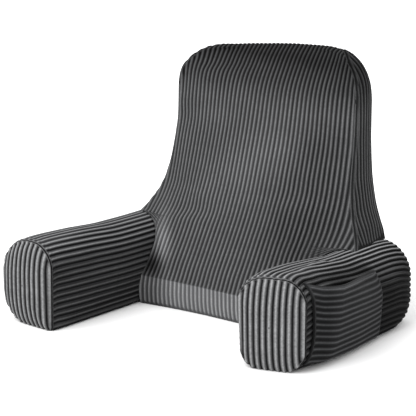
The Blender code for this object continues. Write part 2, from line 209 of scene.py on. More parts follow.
def grid_normals(points: Grid, closed: bool, inside: Grid) -> Grid:
    """Unit normals of a grid of points, turned away from a point inside the piece.

    A normal is the cross product of the steps along the grid's two ways.

    Args:
        points: Rows by columns by 3.
        closed: Whether the columns run round.
        inside: A point inside the piece.

    Returns:
        A unit vector for every point.
    """
    if closed:
        around = np.roll(points, -1, axis=1) - np.roll(points, 1, axis=1)
    else:
        around = np.gradient(points, axis=1)
    normals = np.cross(around, np.gradient(points, axis=0))
    normals /= np.maximum(np.linalg.norm(normals, axis=2, keepdims=True), TINY)
    outwards = np.sum(normals * (points - inside))
    return normals if outwards > 0.0 else -normals


# ---------------------------------------------------------------- cloth


@dataclass(frozen=True)
class Corduroy:
    """The wales of one piece of cloth.

    pitch is from crest to crest and height from valley to crest. seam_fade is
    how far from a seam the wales reach their full height, and roll is the
    height of the narrow roll that the seam's allowance makes beside it, which
    shows roll_crest of a crest's light. level is the share of the profile that
    lies in the smooth form. sway and swell are how far unevenness shifts a
    wale, in pitches, and raises it.
    """

    pitch: float
    height: float
    seam_fade: float = 0.004
    roundness: float = 2.0
    fullness: float = 0.70
    roll: float = 0.0
    roll_place: float = 0.0016
    roll_width: float = 0.0012
    roll_crest: float = 0.8
    level: float = 0.55
    sway: float = 0.05
    swell: float = 0.10

    def raised(self, across: Grid, reach: Grid, seam: Grid, unevenness: Grid) -> tuple[Grid, Grid]:
        """The wales' height over the smooth form, and how near each point is to a crest.

        With q the distance from the nearest crest in half pitches, a wale's
        profile is (1 - q ^ roundness) ^ fullness: a round crest between
        narrow valleys. A crest lies where across is a whole number of pitches.
        The roll beside a seam is a bell over the distance to it.

        Args:
            across: Distance across the wales.
            reach: Distance to the nearest seam or flat edge.
            seam: Distance to the nearest seam that has a roll.
            unevenness: A field about -1 to 1 that shifts and swells the wales.

        Returns:
            The height, centred on the smooth form, and the profile from 0 to 1.
        """
        turns = across / self.pitch + self.sway * unevenness
        q = 2.0 * np.abs(turns - np.round(turns))
        profile = np.maximum(1.0 - q**self.roundness, 0.0) ** self.fullness
        full = smooth_step(reach / self.seam_fade)
        lift = (profile - self.level) * self.height * full * (1.0 + self.swell * unevenness)
        if self.roll <= 0.0:
            return lift, (1.0 - q) * full
        edge = np.exp(-(((seam - self.roll_place) / self.roll_width) ** 2))
        return lift + self.roll * edge, np.maximum((1.0 - q) * full, self.roll_crest * edge)


BACK_CORDUROY = Corduroy(pitch=0.0100, height=0.0028, roll=0.0005, roll_place=0.0022, roll_width=0.0013)
GUSSET_CORDUROY = Corduroy(pitch=0.0100, height=0.0030, roll=0.0010, roll_place=0.0055, roll_width=0.0035)
ARM_CORDUROY = Corduroy(pitch=0.0118, height=0.0032, roll=0.0010, roll_place=0.0018, roll_width=0.0013)
CAP_CORDUROY = Corduroy(pitch=0.0123, height=0.0034, roll=0.0009, roll_place=0.0018, roll_width=0.0014)
POCKET_CORDUROY = Corduroy(pitch=0.0120, height=0.0020, roll=0.0010, roll_place=0.0024, roll_width=0.0016)


@dataclass(frozen=True)
class LightAndBrushMark:
    """A soft patch, lighter where gain is above 0 and darker below: mostly painted light and shade, a few a
    stroke in the pile.
    """

    across: float
    height: float
    length: float
    width: float
    turn_deg: float
    gain: float

    def on(self, across: Grid, heights: Grid) -> Grid:
        """Its strength: the gain times a bell over a turned ellipse.

        Args:
            across: Distances from the middle plane.
            heights: Heights.

        Returns:
            The strength at every point.
        """
        turn = math.radians(self.turn_deg)
        right, up = across - self.across, heights - self.height
        along = right * math.cos(turn) + up * math.sin(turn)
        aside = up * math.cos(turn) - right * math.sin(turn)
        return self.gain * np.exp(-((along / self.length) ** 2) - (aside / self.width) ** 2)


@dataclass
class Patch:
    """One smooth surface of a piece, on a grid.

    across and reach are the distances that the corduroy reads, held marks the
    points that the filling can't move, such as a seam's, and shown the points
    whose faces are made. jump names the first and last of the rows over which
    the columns leap sideways, places gives the rows' places where they aren't
    even, and seam the distance to a rolled seam where reach isn't that.
    """

    points: Grid
    across: Grid
    reach: Grid
    held: Grid
    closed: bool = False
    corduroy: Optional[Corduroy] = None
    shown: Optional[Grid] = None
    jump: Optional[tuple[int, int]] = None
    places: Optional[Grid] = None
    seam: Optional[Grid] = None

    @classmethod
    def plain(cls, points: Grid) -> "Patch":
        """A closed patch without wales that the filling can't move."""
        flat = np.zeros(points.shape[:2])
        return cls(points, flat, flat, flat + 1.0, True)

    def seam_reach(self) -> Grid:
        """The distance to the nearest seam with a roll, which is reach where nothing else is given."""
        return self.reach if self.seam is None else self.seam

    def rows_at(self) -> Grid:
        """Each row's place on the scale that the fine grid and the cage's share."""
        return np.linspace(0.0, 1.0, len(self.points)) if self.places is None else self.places

    def normals(self, inside: Grid) -> Grid:
        """Unit normals that point away from the inside, evened out over the rows of a jump.

        Between a jump's first and last row they run straight from one's to the
        other's.

        Args:
            inside: A point inside the piece.

        Returns:
            A unit vector for every point.
        """
        normals = grid_normals(self.points, self.closed, inside)
        if self.jump is not None:
            first, last = self.jump
            share = np.linspace(0.0, 1.0, last - first + 1)[:, None, None]
            evened = normals[first] + (normals[last] - normals[first]) * share
            normals[first: last + 1] = evened / np.linalg.norm(evened, axis=2, keepdims=True)
        return normals


class Skin:
    """Grids of points, sewn to each other into one closed mesh."""

    def __init__(self) -> None:
        """Starts with nothing."""
        self.points: list[Grid] = []
        self.crests: list[Grid] = []
        self.quads: list[Grid] = []
        self.triangles: list[Grid] = []
        self.count = 0

    def add(self, points: Grid, crests: Grid) -> Grid:
        """Adds loose points.

        Args:
            points: Any shape, by 3.
            crests: Their nearness to a crest.

        Returns:
            Their numbers, in the same shape.
        """
        size = int(np.prod(points.shape[:-1]))
        numbers = self.count + np.arange(size).reshape(points.shape[:-1])
        self.points.append(points.reshape(-1, 3))
        self.crests.append(crests.reshape(-1))
        self.count += size
        return numbers

    def grid(self, points: Grid, crests: Grid, patch: Patch) -> Grid:
        """Adds a patch's grid with its faces.

        Args:
            points: The grid, as it is to be shown.
            crests: The points' nearness to a crest.
            patch: The patch, which says whether the grid closes and what is shown.

        Returns:
            The points' numbers.
        """
        numbers = self.add(points, crests)
        ring = np.concatenate([numbers, numbers[:, :1]], axis=1) if patch.closed else numbers
        corners = np.stack((ring[:-1, :-1], ring[:-1, 1:], ring[1:, 1:], ring[1:, :-1]), axis=-1)
        if patch.shown is not None:
            here = patch.shown
            corners = corners[here[:-1, :-1] & here[:-1, 1:] & here[1:, 1:] & here[1:, :-1]]
        self.quads.append(corners.reshape(-1, 4))
        return numbers

    def along(self, chain: Grid) -> Grid:
        """How far along its length each point of a chain lies.

        Args:
            chain: The points' numbers.

        Returns:
            Shares from 0 to 1.
        """
        points = np.concatenate(self.points)[chain]
        lengths = np.r_[0.0, np.cumsum(np.linalg.norm(np.diff(points, axis=0), axis=1))]
        return lengths / lengths[-1]

    def band(self, first: Grid, second: Grid) -> None:
        """Sews two chains that run side by side: each step along either one adds a triangle.

        The steps are taken in the order of their shares of the chains' lengths.

        Args:
            first: One chain's numbers.
            second: The other's.
        """
        steps = np.concatenate([self.along(first)[1:], self.along(second)[1:]])
        order = np.argsort(steps, kind="stable")
        on_first = order < len(first) - 1
        i, j = np.cumsum(on_first), np.cumsum(~on_first)
        i_before, j_before = i - on_first, j - ~on_first
        ahead = np.where(on_first, first[i], second[j])
        self.triangles.append(np.stack([first[i_before], ahead, second[j_before]], axis=1))

    def loop_band(self, first: Grid, second: Grid) -> None:
        """Sews two rings that run side by side."""
        self.band(np.r_[first, first[0]], np.r_[second, second[0]])

    def fan(self, ring: Grid, centre: Grid) -> None:
        """Closes a ring with triangles to a point, halfway to a crest.

        Args:
            ring: The ring's numbers.
            centre: The point.
        """
        middle = self.add(np.asarray(centre, float).reshape(1, 3), np.full(1, 0.5))
        spokes = np.repeat(middle, len(ring))
        self.triangles.append(np.stack([ring, np.roll(ring, -1), spokes], axis=1))

    def close(self, ring: Grid) -> None:
        """Closes a ring with triangles to its own middle."""
        self.fan(ring, np.concatenate(self.points)[ring].mean(axis=0))

    def mesh(self, name: str, tidy: bool) -> bpy.types.Mesh:
        """The mesh, with its faces turned outwards and smooth.

        Args:
            name: The mesh's name.
            tidy: Whether points that no face uses are left out.

        Returns:
            The mesh, with the nearness to a crest as its attribute "crest".
        """
        quads = np.concatenate(self.quads)
        triangles = np.concatenate([np.zeros((0, 3), int), *self.triangles])
        corners = np.concatenate([quads.ravel(), triangles.ravel()])
        points, crests = np.concatenate(self.points), np.concatenate(self.crests)
        if tidy:
            used, corners = np.unique(corners, return_inverse=True)
            points, crests = points[used], crests[used]
        starts = np.r_[np.arange(len(quads)) * 4, quads.size + np.arange(len(triangles)) * 3]
        data = bpy.data.meshes.new(name)
        data.vertices.add(len(points))
        data.vertices.foreach_set("co", points.astype(np.float32).ravel())
        data.loops.add(len(corners))
        data.loops.foreach_set("vertex_index", corners.astype(np.int32).ravel())
        data.polygons.add(len(starts))
        data.polygons.foreach_set("loop_start", starts.astype(np.int32))
        data.update(calc_edges=True)
        turned = bmesh.new()
        turned.from_mesh(data)
        bmesh.ops.recalc_face_normals(turned, faces=turned.faces)
        turned.to_mesh(data)
        turned.free()
        self.number(data, "crest", crests)
        data.shade_smooth()
        return data

    @staticmethod
    def number(data: bpy.types.Mesh, name: str, values: Grid) -> None:
        """Gives a mesh a number at every point."""
        attribute = data.attributes.new(name, "FLOAT", "POINT")
        attribute.data.foreach_set("value", values.astype(np.float32).ravel())


# ---------------------------------------------------------------- filling


@dataclass(frozen=True)
class Filling:
    """How the filling swells a cage of cloth between its seams, in a cloth simulation.

    The cage starts drawn in by draw_in. No point ends further than most from
    its place on the smooth form.
    """

    pressure: float = 4.0
    frames: int = 20
    draw_in: float = 0.0025
    most: float = 0.0040
    seam_fade: float = 0.010
    stiffness: float = 18.0
    bending: float = 0.6
    mass: float = 0.3
    quality: int = 6

    def settle(self, skin: Skin, held: Grid) -> Grid:
        """Where the cage's points come to rest.

        Args:
            skin: The closed cage.
            held: 1 where a point can't move.

        Returns:
            The points after the last frame.
        """
        data = skin.mesh("cage", tidy=False)
        cage = bpy.data.objects.new("cage", data)
        scene = bpy.context.scene
        scene.collection.objects.link(cage)
        pins = cage.vertex_groups.new(name="held")
        pins.add([int(i) for i in np.flatnonzero(held > 0.5)], 1.0, "REPLACE")
        cloth = cage.modifiers.new("Cloth", "CLOTH")
        settings = cloth.settings
        settings.quality = self.quality
        settings.mass = self.mass
        settings.tension_stiffness = self.stiffness
        settings.compression_stiffness = self.stiffness
        settings.shear_stiffness = self.stiffness / 2.0
        settings.bending_stiffness = self.bending
        settings.use_pressure = True
        settings.uniform_pressure_force = self.pressure
        settings.vertex_group_mass = pins.name
        settings.effector_weights.gravity = 0.0
        cloth.collision_settings.use_collision = False
        cloth.point_cache.frame_start = 1
        cloth.point_cache.frame_end = self.frames
        for number in range(1, self.frames + 1):
            scene.frame_set(number)
        settled = cage.evaluated_get(bpy.context.evaluated_depsgraph_get())
        points = np.zeros(len(data.vertices) * 3, np.float32)
        settled.data.vertices.foreach_get("co", points)
        scene.frame_set(1)
        bpy.data.objects.remove(cage)
        bpy.data.meshes.remove(data)
        return points.reshape(-1, 3).astype(float)


class Slot(Enum):
    """The finishes' material names."""

    BACK = "back_velvet"
    ARM = "arm_velvet"
    CAP = "cap_velvet"
    POCKET = "pocket_velvet"


class FilledPiece(ABC):
    """A closed, filled piece of the pillow: smooth patches, swollen and then ribbed."""

    name: str
    nodes: tuple[str, ...]
    slot: Slot
    fill: float = 0.8
    seed: int = 1

    @abstractmethod
    def patches(self, fine: bool) -> list[Patch]:
        """The smooth surfaces, on fine grids or on the cage's coarse ones."""

    @abstractmethod
    def sew(self, skin: Skin, grids: list[Grid]) -> None:
        """Closes the gaps between the patches of a skin, given their points' numbers."""

    def inside(self, patches: list[Patch]) -> Grid:
        """The middle of the piece."""
        return np.mean([patch.points.reshape(-1, 3).mean(axis=0) for patch in patches], axis=0)

    def swelling(self, filling: Filling) -> list[tuple[Grid, Grid]]:
        """How far the filling moves each patch's points, from a simulation of the cage.

        Args:
            filling: The simulation's settings.

        Returns:
            The cage's rows' places and the points' shifts, for each patch.
        """
        patches = self.patches(fine=False)
        inside = self.inside(patches)
        skin = Skin()
        grids, held = [], []
        for patch in patches:
            free = (1.0 - patch.held)[..., None]
            drawn = patch.points - patch.normals(inside) * free * filling.draw_in
            grids.append(skin.grid(drawn, patch.held, patch))
            held.append(patch.held.reshape(-1))
        self.sew(skin, grids)
        pinned = np.ones(skin.count)
        pinned[: sum(len(part) for part in held)] = np.concatenate(held)
        settled = filling.settle(skin, pinned)
        moved = []
        for patch, numbers in zip(patches, grids):
            shift = settled[numbers] - patch.points
            length = np.maximum(np.linalg.norm(shift, axis=2, keepdims=True), TINY)
            moved.append((patch.rows_at(), shift * np.minimum(1.0, filling.most / length)))
        return moved

    def build(self, filling: Filling, material: bpy.types.Material) -> bpy.types.Object:
        """Makes the piece, swells it, raises its wales and puts it in the frame.

        Args:
            filling: The simulation's settings.
            material: The piece's finish.

        Returns:
            The finished object.
        """
        patches = self.patches(fine=True)
        inside = self.inside(patches)
        swelling = self.swelling(filling)
        for patch, (places, shift) in zip(patches, swelling):
            fade = (smooth_step(patch.reach / filling.seam_fade) * self.slack(patch.points))[..., None]
            spread_out = spread(shift, places, patch.rows_at(), patch.points.shape[1], patch.closed)
            patch.points = patch.points + spread_out * fade
        skin = Skin()
        grids = []
        for number, patch in enumerate(patches):
            points, crests = self.ribbed(patch, inside, self.seed + number)
            points[..., 2] = np.maximum(points[..., 2], self.lowest())
            grids.append(skin.grid(points, crests, patch))
        self.sew(skin, grids)
        return self.place(skin.mesh(self.name, tidy=True), material)

    def slack(self, points: Grid) -> Grid:
        """How far the cloth gives to the filling, from 0 to 1."""
        return np.ones(points.shape[:2])

    def tone(self, points: Grid, normals: Grid) -> Grid:
        """The tone at some points, which paints light and shade on the finish; 1 is the finish's own shade.
        """
        return np.ones(len(points))

    def lowest(self) -> float:
        """The height that nothing of the piece goes below."""
        return 0.0

    def ribbed(self, patch: Patch, inside: Grid, seed: int) -> tuple[Grid, Grid]:
        """Raises a patch's wales.

        Args:
            patch: The patch.
            inside: A point inside the piece.
            seed: Picks the cloth's unevenness.

        Returns:
            The points, and their nearness to a crest.
        """
        if patch.corduroy is None:
            return patch.points.copy(), np.zeros(patch.points.shape[:2])
        along = patch.points @ np.array(GRAIN_WAY)
        uneven = sum(
            wander(patch.across, along, wavelength, seed + gained) * weight
            for wavelength, weight, gained in GRAIN_WAVES
        )
        lift, crests = patch.corduroy.raised(patch.across, patch.reach, patch.seam_reach(), uneven)
        return patch.points + patch.normals(inside) * lift[..., None], crests

    def place(self, data: bpy.types.Mesh, material: bpy.types.Material) -> bpy.types.Object:
        """Puts a mesh in the scene and on the frame, with its tones and its finish.

        Args:
            data: The mesh.
            material: The finish.

        Returns:
            The object.
        """
        places, normals = np.zeros((2, len(data.vertices) * 3), np.float32)
        data.vertices.foreach_get("co", places)
        data.vertex_normals.foreach_get("vector", normals)
        tones = self.tone(places.reshape(-1, 3).astype(float), normals.reshape(-1, 3).astype(float))
        # the tone attribute carries painted light and shade to the finish
        Skin.number(data, "tone", tones)
        data.materials.append(material)
        thing = bpy.data.objects.new(self.name, data)
        bpy.context.scene.collection.objects.link(thing)
        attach(thing, "root")
        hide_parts(*self.nodes)
        self.declare(thing)
        LOG.info("%s: %d faces", self.name, len(data.polygons))
        return thing

    def declare(self, thing: bpy.types.Object) -> None:
        """Does nothing here: no kind of piece is declared."""


# ---------------------------------------------------------------- arms


@dataclass(frozen=True)
class Station:
    """An arm's section: where it stands, its size, its turn and its corners' radii."""

    depth: float
    offset: float
    width: float
    turn_deg: float
    height: float
    inner_top: float
    outer_top: float
    outer_foot: float


STATION_NAMES = tuple(field.name for field in fields(Station))

LEFT_STATIONS = (
    Station(-0.253, 0.2640, 0.1260, 3.0, 0.1680, 0.045, 0.070, 0.060),
    Station(-0.246, 0.2640, 0.1350, 3.0, 0.1720, 0.048, 0.074, 0.060),
    Station(-0.222, 0.2635, 0.1400, 3.0, 0.1740, 0.050, 0.078, 0.054),
    Station(-0.140, 0.2610, 0.1410, 2.0, 0.1710, 0.054, 0.080, 0.044),
    Station(-0.040, 0.2570, 0.1400, 1.0, 0.1640, 0.056, 0.080, 0.038),
    Station(0.050, 0.2545, 0.1350, 0.0, 0.1630, 0.056, 0.078, 0.036),
    Station(0.190, 0.2530, 0.1310, 0.0, 0.1630, 0.054, 0.076, 0.036),
    Station(0.210, 0.2510, 0.1240, 0.0, 0.1620, 0.050, 0.073, 0.034),
    Station(0.222, 0.2490, 0.1120, 0.0, 0.1550, 0.045, 0.066, 0.030),
    Station(0.227, 0.2480, 0.0950, 0.0, 0.1440, 0.040, 0.054, 0.026),
)
RIGHT_STATIONS = (
    Station(-0.174, 0.2635, 0.1120, 18.0, 0.1720, 0.042, 0.037, 0.036),
    Station(-0.167, 0.2612, 0.1220, 17.5, 0.1770, 0.045, 0.040, 0.036),
    Station(-0.146, 0.2580, 0.1320, 16.0, 0.1785, 0.048, 0.046, 0.031),
    Station(-0.095, 0.2550, 0.1380, 10.0, 0.1760, 0.052, 0.056, 0.024),
    Station(-0.030, 0.2555, 0.1390, 4.0, 0.1690, 0.052, 0.070, 0.022),
    Station(0.050, 0.2545, 0.1350, 0.0, 0.1630, 0.056, 0.078, 0.022),
    Station(0.150, 0.2535, 0.1320, 0.0, 0.1630, 0.055, 0.077, 0.026),
    Station(0.182, 0.2530, 0.1300, 0.0, 0.1630, 0.054, 0.072, 0.038),
    Station(0.206, 0.2510, 0.1220, 0.0, 0.1615, 0.050, 0.064, 0.054),
    Station(0.219, 0.2480, 0.1070, 0.0, 0.1540, 0.045, 0.056, 0.054),
    Station(0.225, 0.2455, 0.0880, 0.0, 0.1400, 0.040, 0.046, 0.042),
)


@dataclass(frozen=True)
class ArmForm:
    """An arm's smooth form: a box with round corners, carried through its stations."""

    side: float
    stations: tuple[Station, ...]
    inner_foot: float = 0.007
    front_foot: float = 0.0
    foot_fade: float = 0.060
    side_bulge: float = 0.003
    front_bulge: float = 0.0
    bulge_fade: float = 0.030
    bulge_skew: float = 1.6
    arc_points: int = 24

    def column(self, name: str, depths: Grid) -> Grid:
        """One of the stations' sizes at every depth."""
        rows = np.array([astuple(station) for station in self.stations])
        return flow(np.atleast_1d(depths), rows[:, 0], rows[:, STATION_NAMES.index(name)])

    def bulge(self, depths: Grid) -> Grid:
        """How far the sides swell halfway up, which may be more at the front."""
        near_front = 1.0 - smooth_step((depths - self.front()) / self.bulge_fade)
        return self.side_bulge + self.front_bulge * near_front

    def outline(self, depths: Grid, count: int) -> Grid:
        """The outlines at some depths, from the inner foot over the top to the outer foot.

        Four corner arcs in a box, whose sides swell by a sine of the height. The
        first coordinate runs outwards from the arm's middle, the second upwards.

        Args:
            depths: The depths.
            count: How many points an outline has, evenly spaced.

        Returns:
            Depths by count by 2.
        """
        width, height, inner_top, outer_top, outer_foot = (
            self.column(name, depths)[:, None]
            for name in ("width", "height", "inner_top", "outer_top", "outer_foot")
        )
        half = width / 2.0
        near_front = 1.0 - smooth_step((depths[:, None] - self.front()) / self.foot_fade)
        foot = self.inner_foot + self.front_foot * near_front
        corners = (
            (-half + foot, foot, foot, 270.0, 180.0),
            (-half + inner_top, height - inner_top, inner_top, 180.0, 90.0),
            (half - outer_top, height - outer_top, outer_top, 90.0, 0.0),
            (half - outer_foot, outer_foot, outer_foot, 0.0, -90.0),
        )
        arcs = []
        for across, up, radius, start, end in corners:
            turn = np.radians(np.linspace(start, end, self.arc_points))[None, :]
            arcs.append(np.stack([across + radius * np.cos(turn), up + radius * np.sin(turn)], axis=2))
        line = np.concatenate(arcs, axis=1)
        share = np.clip(line[..., 1] / height, 0.0, 1.0)
        extra = (self.bulge(depths)[:, None] - self.side_bulge) * np.sin(
            np.pi * share ** np.where(line[..., 0] < 0.0, self.bulge_skew, 1.0)
        )
        line[..., 0] += (self.side_bulge * np.sin(np.pi * share) + extra) * line[..., 0] / half
        return evenly(line, count)

    def frame_at(self, depths: Grid) -> tuple[Grid, Grid, Grid]:
        """The arm's own frame: its middle on the floor, and the level unit ways across and along it.

        Args:
            depths: The depths.

        Returns:
            The middles, the ways outwards and the ways forwards.
        """
        turn = np.radians(self.column("turn_deg", depths))
        flat = np.zeros_like(turn)
        middle = np.stack([self.side * self.column("offset", depths), FRONT_LINE_Y + depths, flat], axis=1)
        outwards = np.stack([self.side * np.cos(turn), np.sin(turn), flat], axis=1)
        forwards = np.stack([self.side * np.sin(turn), -np.cos(turn), flat], axis=1)
        return middle, outwards, forwards

    def in_place(self, depths: Grid, lines: Grid) -> Grid:
        """Outlines as points of the frame.

        Args:
            depths: Each outline's depth.
            lines: Outlines by points by 2, as outline gives them.

        Returns:
            Outlines by points by 3.
        """
        middle, outwards, _ = self.frame_at(depths)
        points = middle[:, None] + lines[..., :1] * outwards[:, None]
        points[..., 2] = lines[..., 1]
        return points

    def outer_side(self, depths: Grid, heights: Grid) -> tuple[Grid, Grid, Grid]:
        """The outer side over grids of depths and heights.

        Straight between the top corner's arc and the foot's, with the sides' swell.

        Args:
            depths: The depths.
            heights: The heights.

        Returns:
            How far the side is from the arm's middle, its widest reach there, and that one's height.
        """
        width, height, top, foot = (
            self.column(name, depths.ravel()).reshape(depths.shape)
            for name in ("width", "height", "outer_top", "outer_foot")
        )
        half = width / 2.0
        up = np.clip(heights - (height - top), 0.0, top)
        down = np.clip(foot - heights, 0.0, foot)
        reach = half - (top - np.sqrt(top**2 - up**2)) - (foot - np.sqrt(foot**2 - down**2))
        swell = self.bulge(depths) * np.sin(np.pi * np.clip(heights / height, 0.0, 1.0)) * reach / half
        return reach + swell, half + self.bulge(depths), height / 2.0

    def front(self) -> float:
        """The depth of the front seam."""
        return self.stations[0].depth

    def rear(self) -> float:
        """The depth of the rear end."""
        return self.stations[-1].depth


DOME_RIM = 0.996            # a dome's first ring, as a share of its outline
DOME_MIDDLE = 0.03          # its last ring


def dome(ring: Grid, forwards: Grid, rise: float, power: float, rings: int) -> Grid:
    """A domed disc on a ring: r times the ring about its middle, raised by rise * sqrt(1 - r ^ power).

    r is the cosine of an even angle, so the rings are close at the steep rim.

    Args:
        ring: The outline's points.
        forwards: The unit direction of the dome.
        rise: The dome's height.
        power: How flat the dome is in its middle.
        rings: How many rings are made.

    Returns:
        Rings by points by 3, from the rim to the middle.
    """
    r = np.cos(np.linspace(math.acos(DOME_RIM), math.acos(DOME_MIDDLE), rings))[:, None, None]
    middle = ring.mean(axis=0)
    return middle + (ring - middle) * r + forwards * rise * np.sqrt(1.0 - r**power)


@dataclass(frozen=True)
class ArmGrid:
    """How an arm's wrap is divided.

    It has that many rows, points around the outline, points under the foot and
    rings at the rear end. The rows run through stops: the front end, some steps
    behind it, some depths and the rear end, each at its share of the rows.
    """

    rows: int
    around: int
    floor: int
    rings: int
    steps: tuple[float, ...]
    depths: tuple[float, ...]
    shares: tuple[float, ...]

    def rows_of(self, form: ArmForm) -> Grid:
        """The rows' depths."""
        stops = (form.front(), *(form.front() + step for step in self.steps), *self.depths, form.rear())
        return flow(np.linspace(0.0, 1.0, self.rows), self.shares, stops)


FINE_ARM = ArmGrid(
    84, 421, 16, 26, (0.014, 0.060), (0.02, 0.17, 0.205), (0.0, 0.16, 0.32, 0.56, 0.72, 0.82, 1.0),
)
CAGE_ARM = ArmGrid(26, 36, 5, 4, (0.040,), (0.185, 0.212), (0.0, 0.12, 0.84, 0.92, 1.0))


@dataclass
class Arm(FilledPiece):
    """A filled bolster: a ribbed wrap along its length, a front end under its cap, and a plain rear end.

    covered is the pocket's first and last depth, between which the arm's outer
    face is held. The mouth numbers place the painted shadow over the pocket's edge.
    """

    name: str
    nodes: tuple[str, ...]
    form: ArmForm
    seed: int
    slot: Slot = Slot.ARM
    fill: float = 0.85
    rear_rise: float = 0.006
    rear_power: float = 3.0
    rear_reach: float = 0.004         # the wales keep this reach at the rear end
    hollow: float = 0.004
    hollow_power: float = 2.0
    girth_depth: float = -0.10        # where the wales are counted
    foot_held: float = 0.004          # the wrap is held up to this height
    # painted light: the top lighter and the sides darker, by how the light falls from above
    top_tone: float = 0.96
    side_tone: float = 0.30
    top_ramp: Ramp = Ramp(0.15, 0.65)
    outer_ramp: Ramp = Ramp(0.42, 0.35)
    behind: Ramp = Ramp(-0.10, 0.05)
    # painted shade on the outer face behind the front, which faces away from the light
    outer_dark: float = 0.0
    front_dark: float = 0.30
    # a painted shadow along the pocket's open mouth, where the arm is shaded
    mouth_height: float = 0.149
    mouth_slope: float = -0.13
    mouth_fade: float = 0.012
    mouth_dark: float = 0.60
    mouth_ramp: Ramp = Ramp(0.0, 0.3)
    covered: tuple[float, float] = (1.0, 0.0)
    covered_fades: tuple[float, float] = (0.02, 0.03)
    covered_height: float = 0.165     # the pocket holds the outer face up to here
    covered_offset: float = 0.03      # the outer face starts this far from the middle

    def patches(self, fine: bool) -> list[Patch]:
        """The wrap, the front end and the rear end.

        A whole number of wales goes round the wrap, all along its length.

        Args:
            fine: Whether the fine grids are wanted.

        Returns:
            The three patches.
        """
        form, grid = self.form, FINE_ARM if fine else CAGE_ARM
        around, floor = grid.around, grid.floor
        depths = grid.rows_of(form)
        lines = form.outline(depths, around)
        under = np.linspace(lines[:, -1], lines[:, 0], floor + 2, axis=1)[:, 1:-1]
        points = form.in_place(depths, np.concatenate([lines, under], axis=1))
        section = form.outline(np.array([self.girth_depth]), around)[0]
        girth = np.linalg.norm(np.diff(section, axis=0), axis=1).sum()
        wales = round(girth / ARM_CORDUROY.pitch)
        share = np.r_[np.linspace(0.0, 1.0, around), np.linspace(1.0, 0.0, floor + 2)[1:-1]]
        across = np.broadcast_to(share * wales * ARM_CORDUROY.pitch, points.shape[:2])
        ends = np.minimum(depths - form.front(), form.rear() - depths + self.rear_reach)[:, None]
        reach = np.minimum(ends, points[..., 2] * ARM_CORDUROY.seam_fade / FLOOR_FADE)
        held = np.zeros(points.shape[:2])
        held[[0, -1]] = 1.0
        held[points[..., 2] < self.foot_held] = 1.0
        under_pocket = (depths > self.covered[0]) & (depths < self.covered[1])
        outside = np.abs(points[..., 0]) > form.column("offset", depths)[:, None] + self.covered_offset
        held[outside & under_pocket[:, None] & (points[..., 2] < self.covered_height)] = 1.0
        seam = np.broadcast_to(ends, points.shape[:2])
        wrap = Patch(points, across, reach, held, True, ARM_CORDUROY, places=depths, seam=seam)
        return [wrap, self.front_end(points[0], grid.rings), self.rear_end(points[-1], grid.rings)]

    def tone(self, points: Grid, normals: Grid) -> Grid:
        """Painted light and shade: lighter on top and darker on the sides, by how the light falls from
        above, with painted shade on the outer face beside the pocket and a painted shadow over the pocket's
        mouth.

        Ramps on the normals part the lit top from the shaded sides, and a bell over the
        distance to the pocket's edge paints a shadow on the arm there.

        Args:
            points: The points.
            normals: Their unit normals.

        Returns:
            Their tones.
        """
        outwards = normals[:, 0] * self.form.side
        tone = self.side_tone + (self.top_tone - self.side_tone) * self.top_ramp.on(normals[:, 2])
        depths = points[:, 1] - FRONT_LINE_Y
        behind, outer = self.behind.on(depths), self.outer_ramp.on(outwards)
        tone *= 1.0 - self.outer_dark * outer * behind
        tone *= 1.0 - self.front_dark * outer * (1.0 - behind)
        mouth = self.mouth_height + self.mouth_slope * depths
        (first, last), (fade_in, fade_out) = self.covered, self.covered_fades
        inside = smooth_step((depths - first) / fade_in) * smooth_step((last - depths) / fade_out)
        over = np.exp(-(((points[:, 2] - mouth) / self.mouth_fade) ** 2)) * self.mouth_ramp.on(outwards)
        return tone * (1.0 - self.mouth_dark * inside * over)

    def front_end(self, ring: Grid, rings: int) -> Patch:
        """The flat end under the cap, a little hollow.

        Args:
            ring: The wrap's front edge.
            rings: How many rings the rear end has; this one has a quarter, but at least CAGE_ARM's.

        Returns:
            The patch.
        """
        _, _, forwards = self.form.frame_at(np.array([self.form.front()]))
        return Patch.plain(
            dome(ring, -forwards[0], self.hollow, self.hollow_power, max(CAGE_ARM.rings, rings // 4))
        )

    def rear_end(self, ring: Grid, rings: int) -> Patch:
        """The rear end, with upright wales.

        Args:
            ring: The wrap's rear edge.
            rings: How many rings it has.

        Returns:
            The patch.
        """
        _, outwards, forwards = self.form.frame_at(np.array([self.form.rear()]))
        points = dome(ring, -forwards[0], self.rear_rise, self.rear_power, rings)
        across = (points - ring.mean(axis=0)) @ outwards[0]
        radius = np.linalg.norm(ring - ring.mean(axis=0), axis=1)
        reach = radius - np.linalg.norm(points - points.mean(axis=(0, 1)), axis=2)
        held = np.zeros(points.shape[:2])
        held[0] = 1.0
        return Patch(points, across, reach, held, True, CAP_CORDUROY)

    def sew(self, skin: Skin, grids: list[Grid]) -> None:
        """Sews both ends to the wrap and closes their middles.

        Args:
            skin: The arm's skin.
            grids: The wrap's, the front end's and the rear end's numbers.
        """
        wrap, front, rear = grids
        for edge, end in ((wrap[0], front), (wrap[-1], rear)):
            skin.loop_band(edge, end[0])
            skin.close(end[-1])


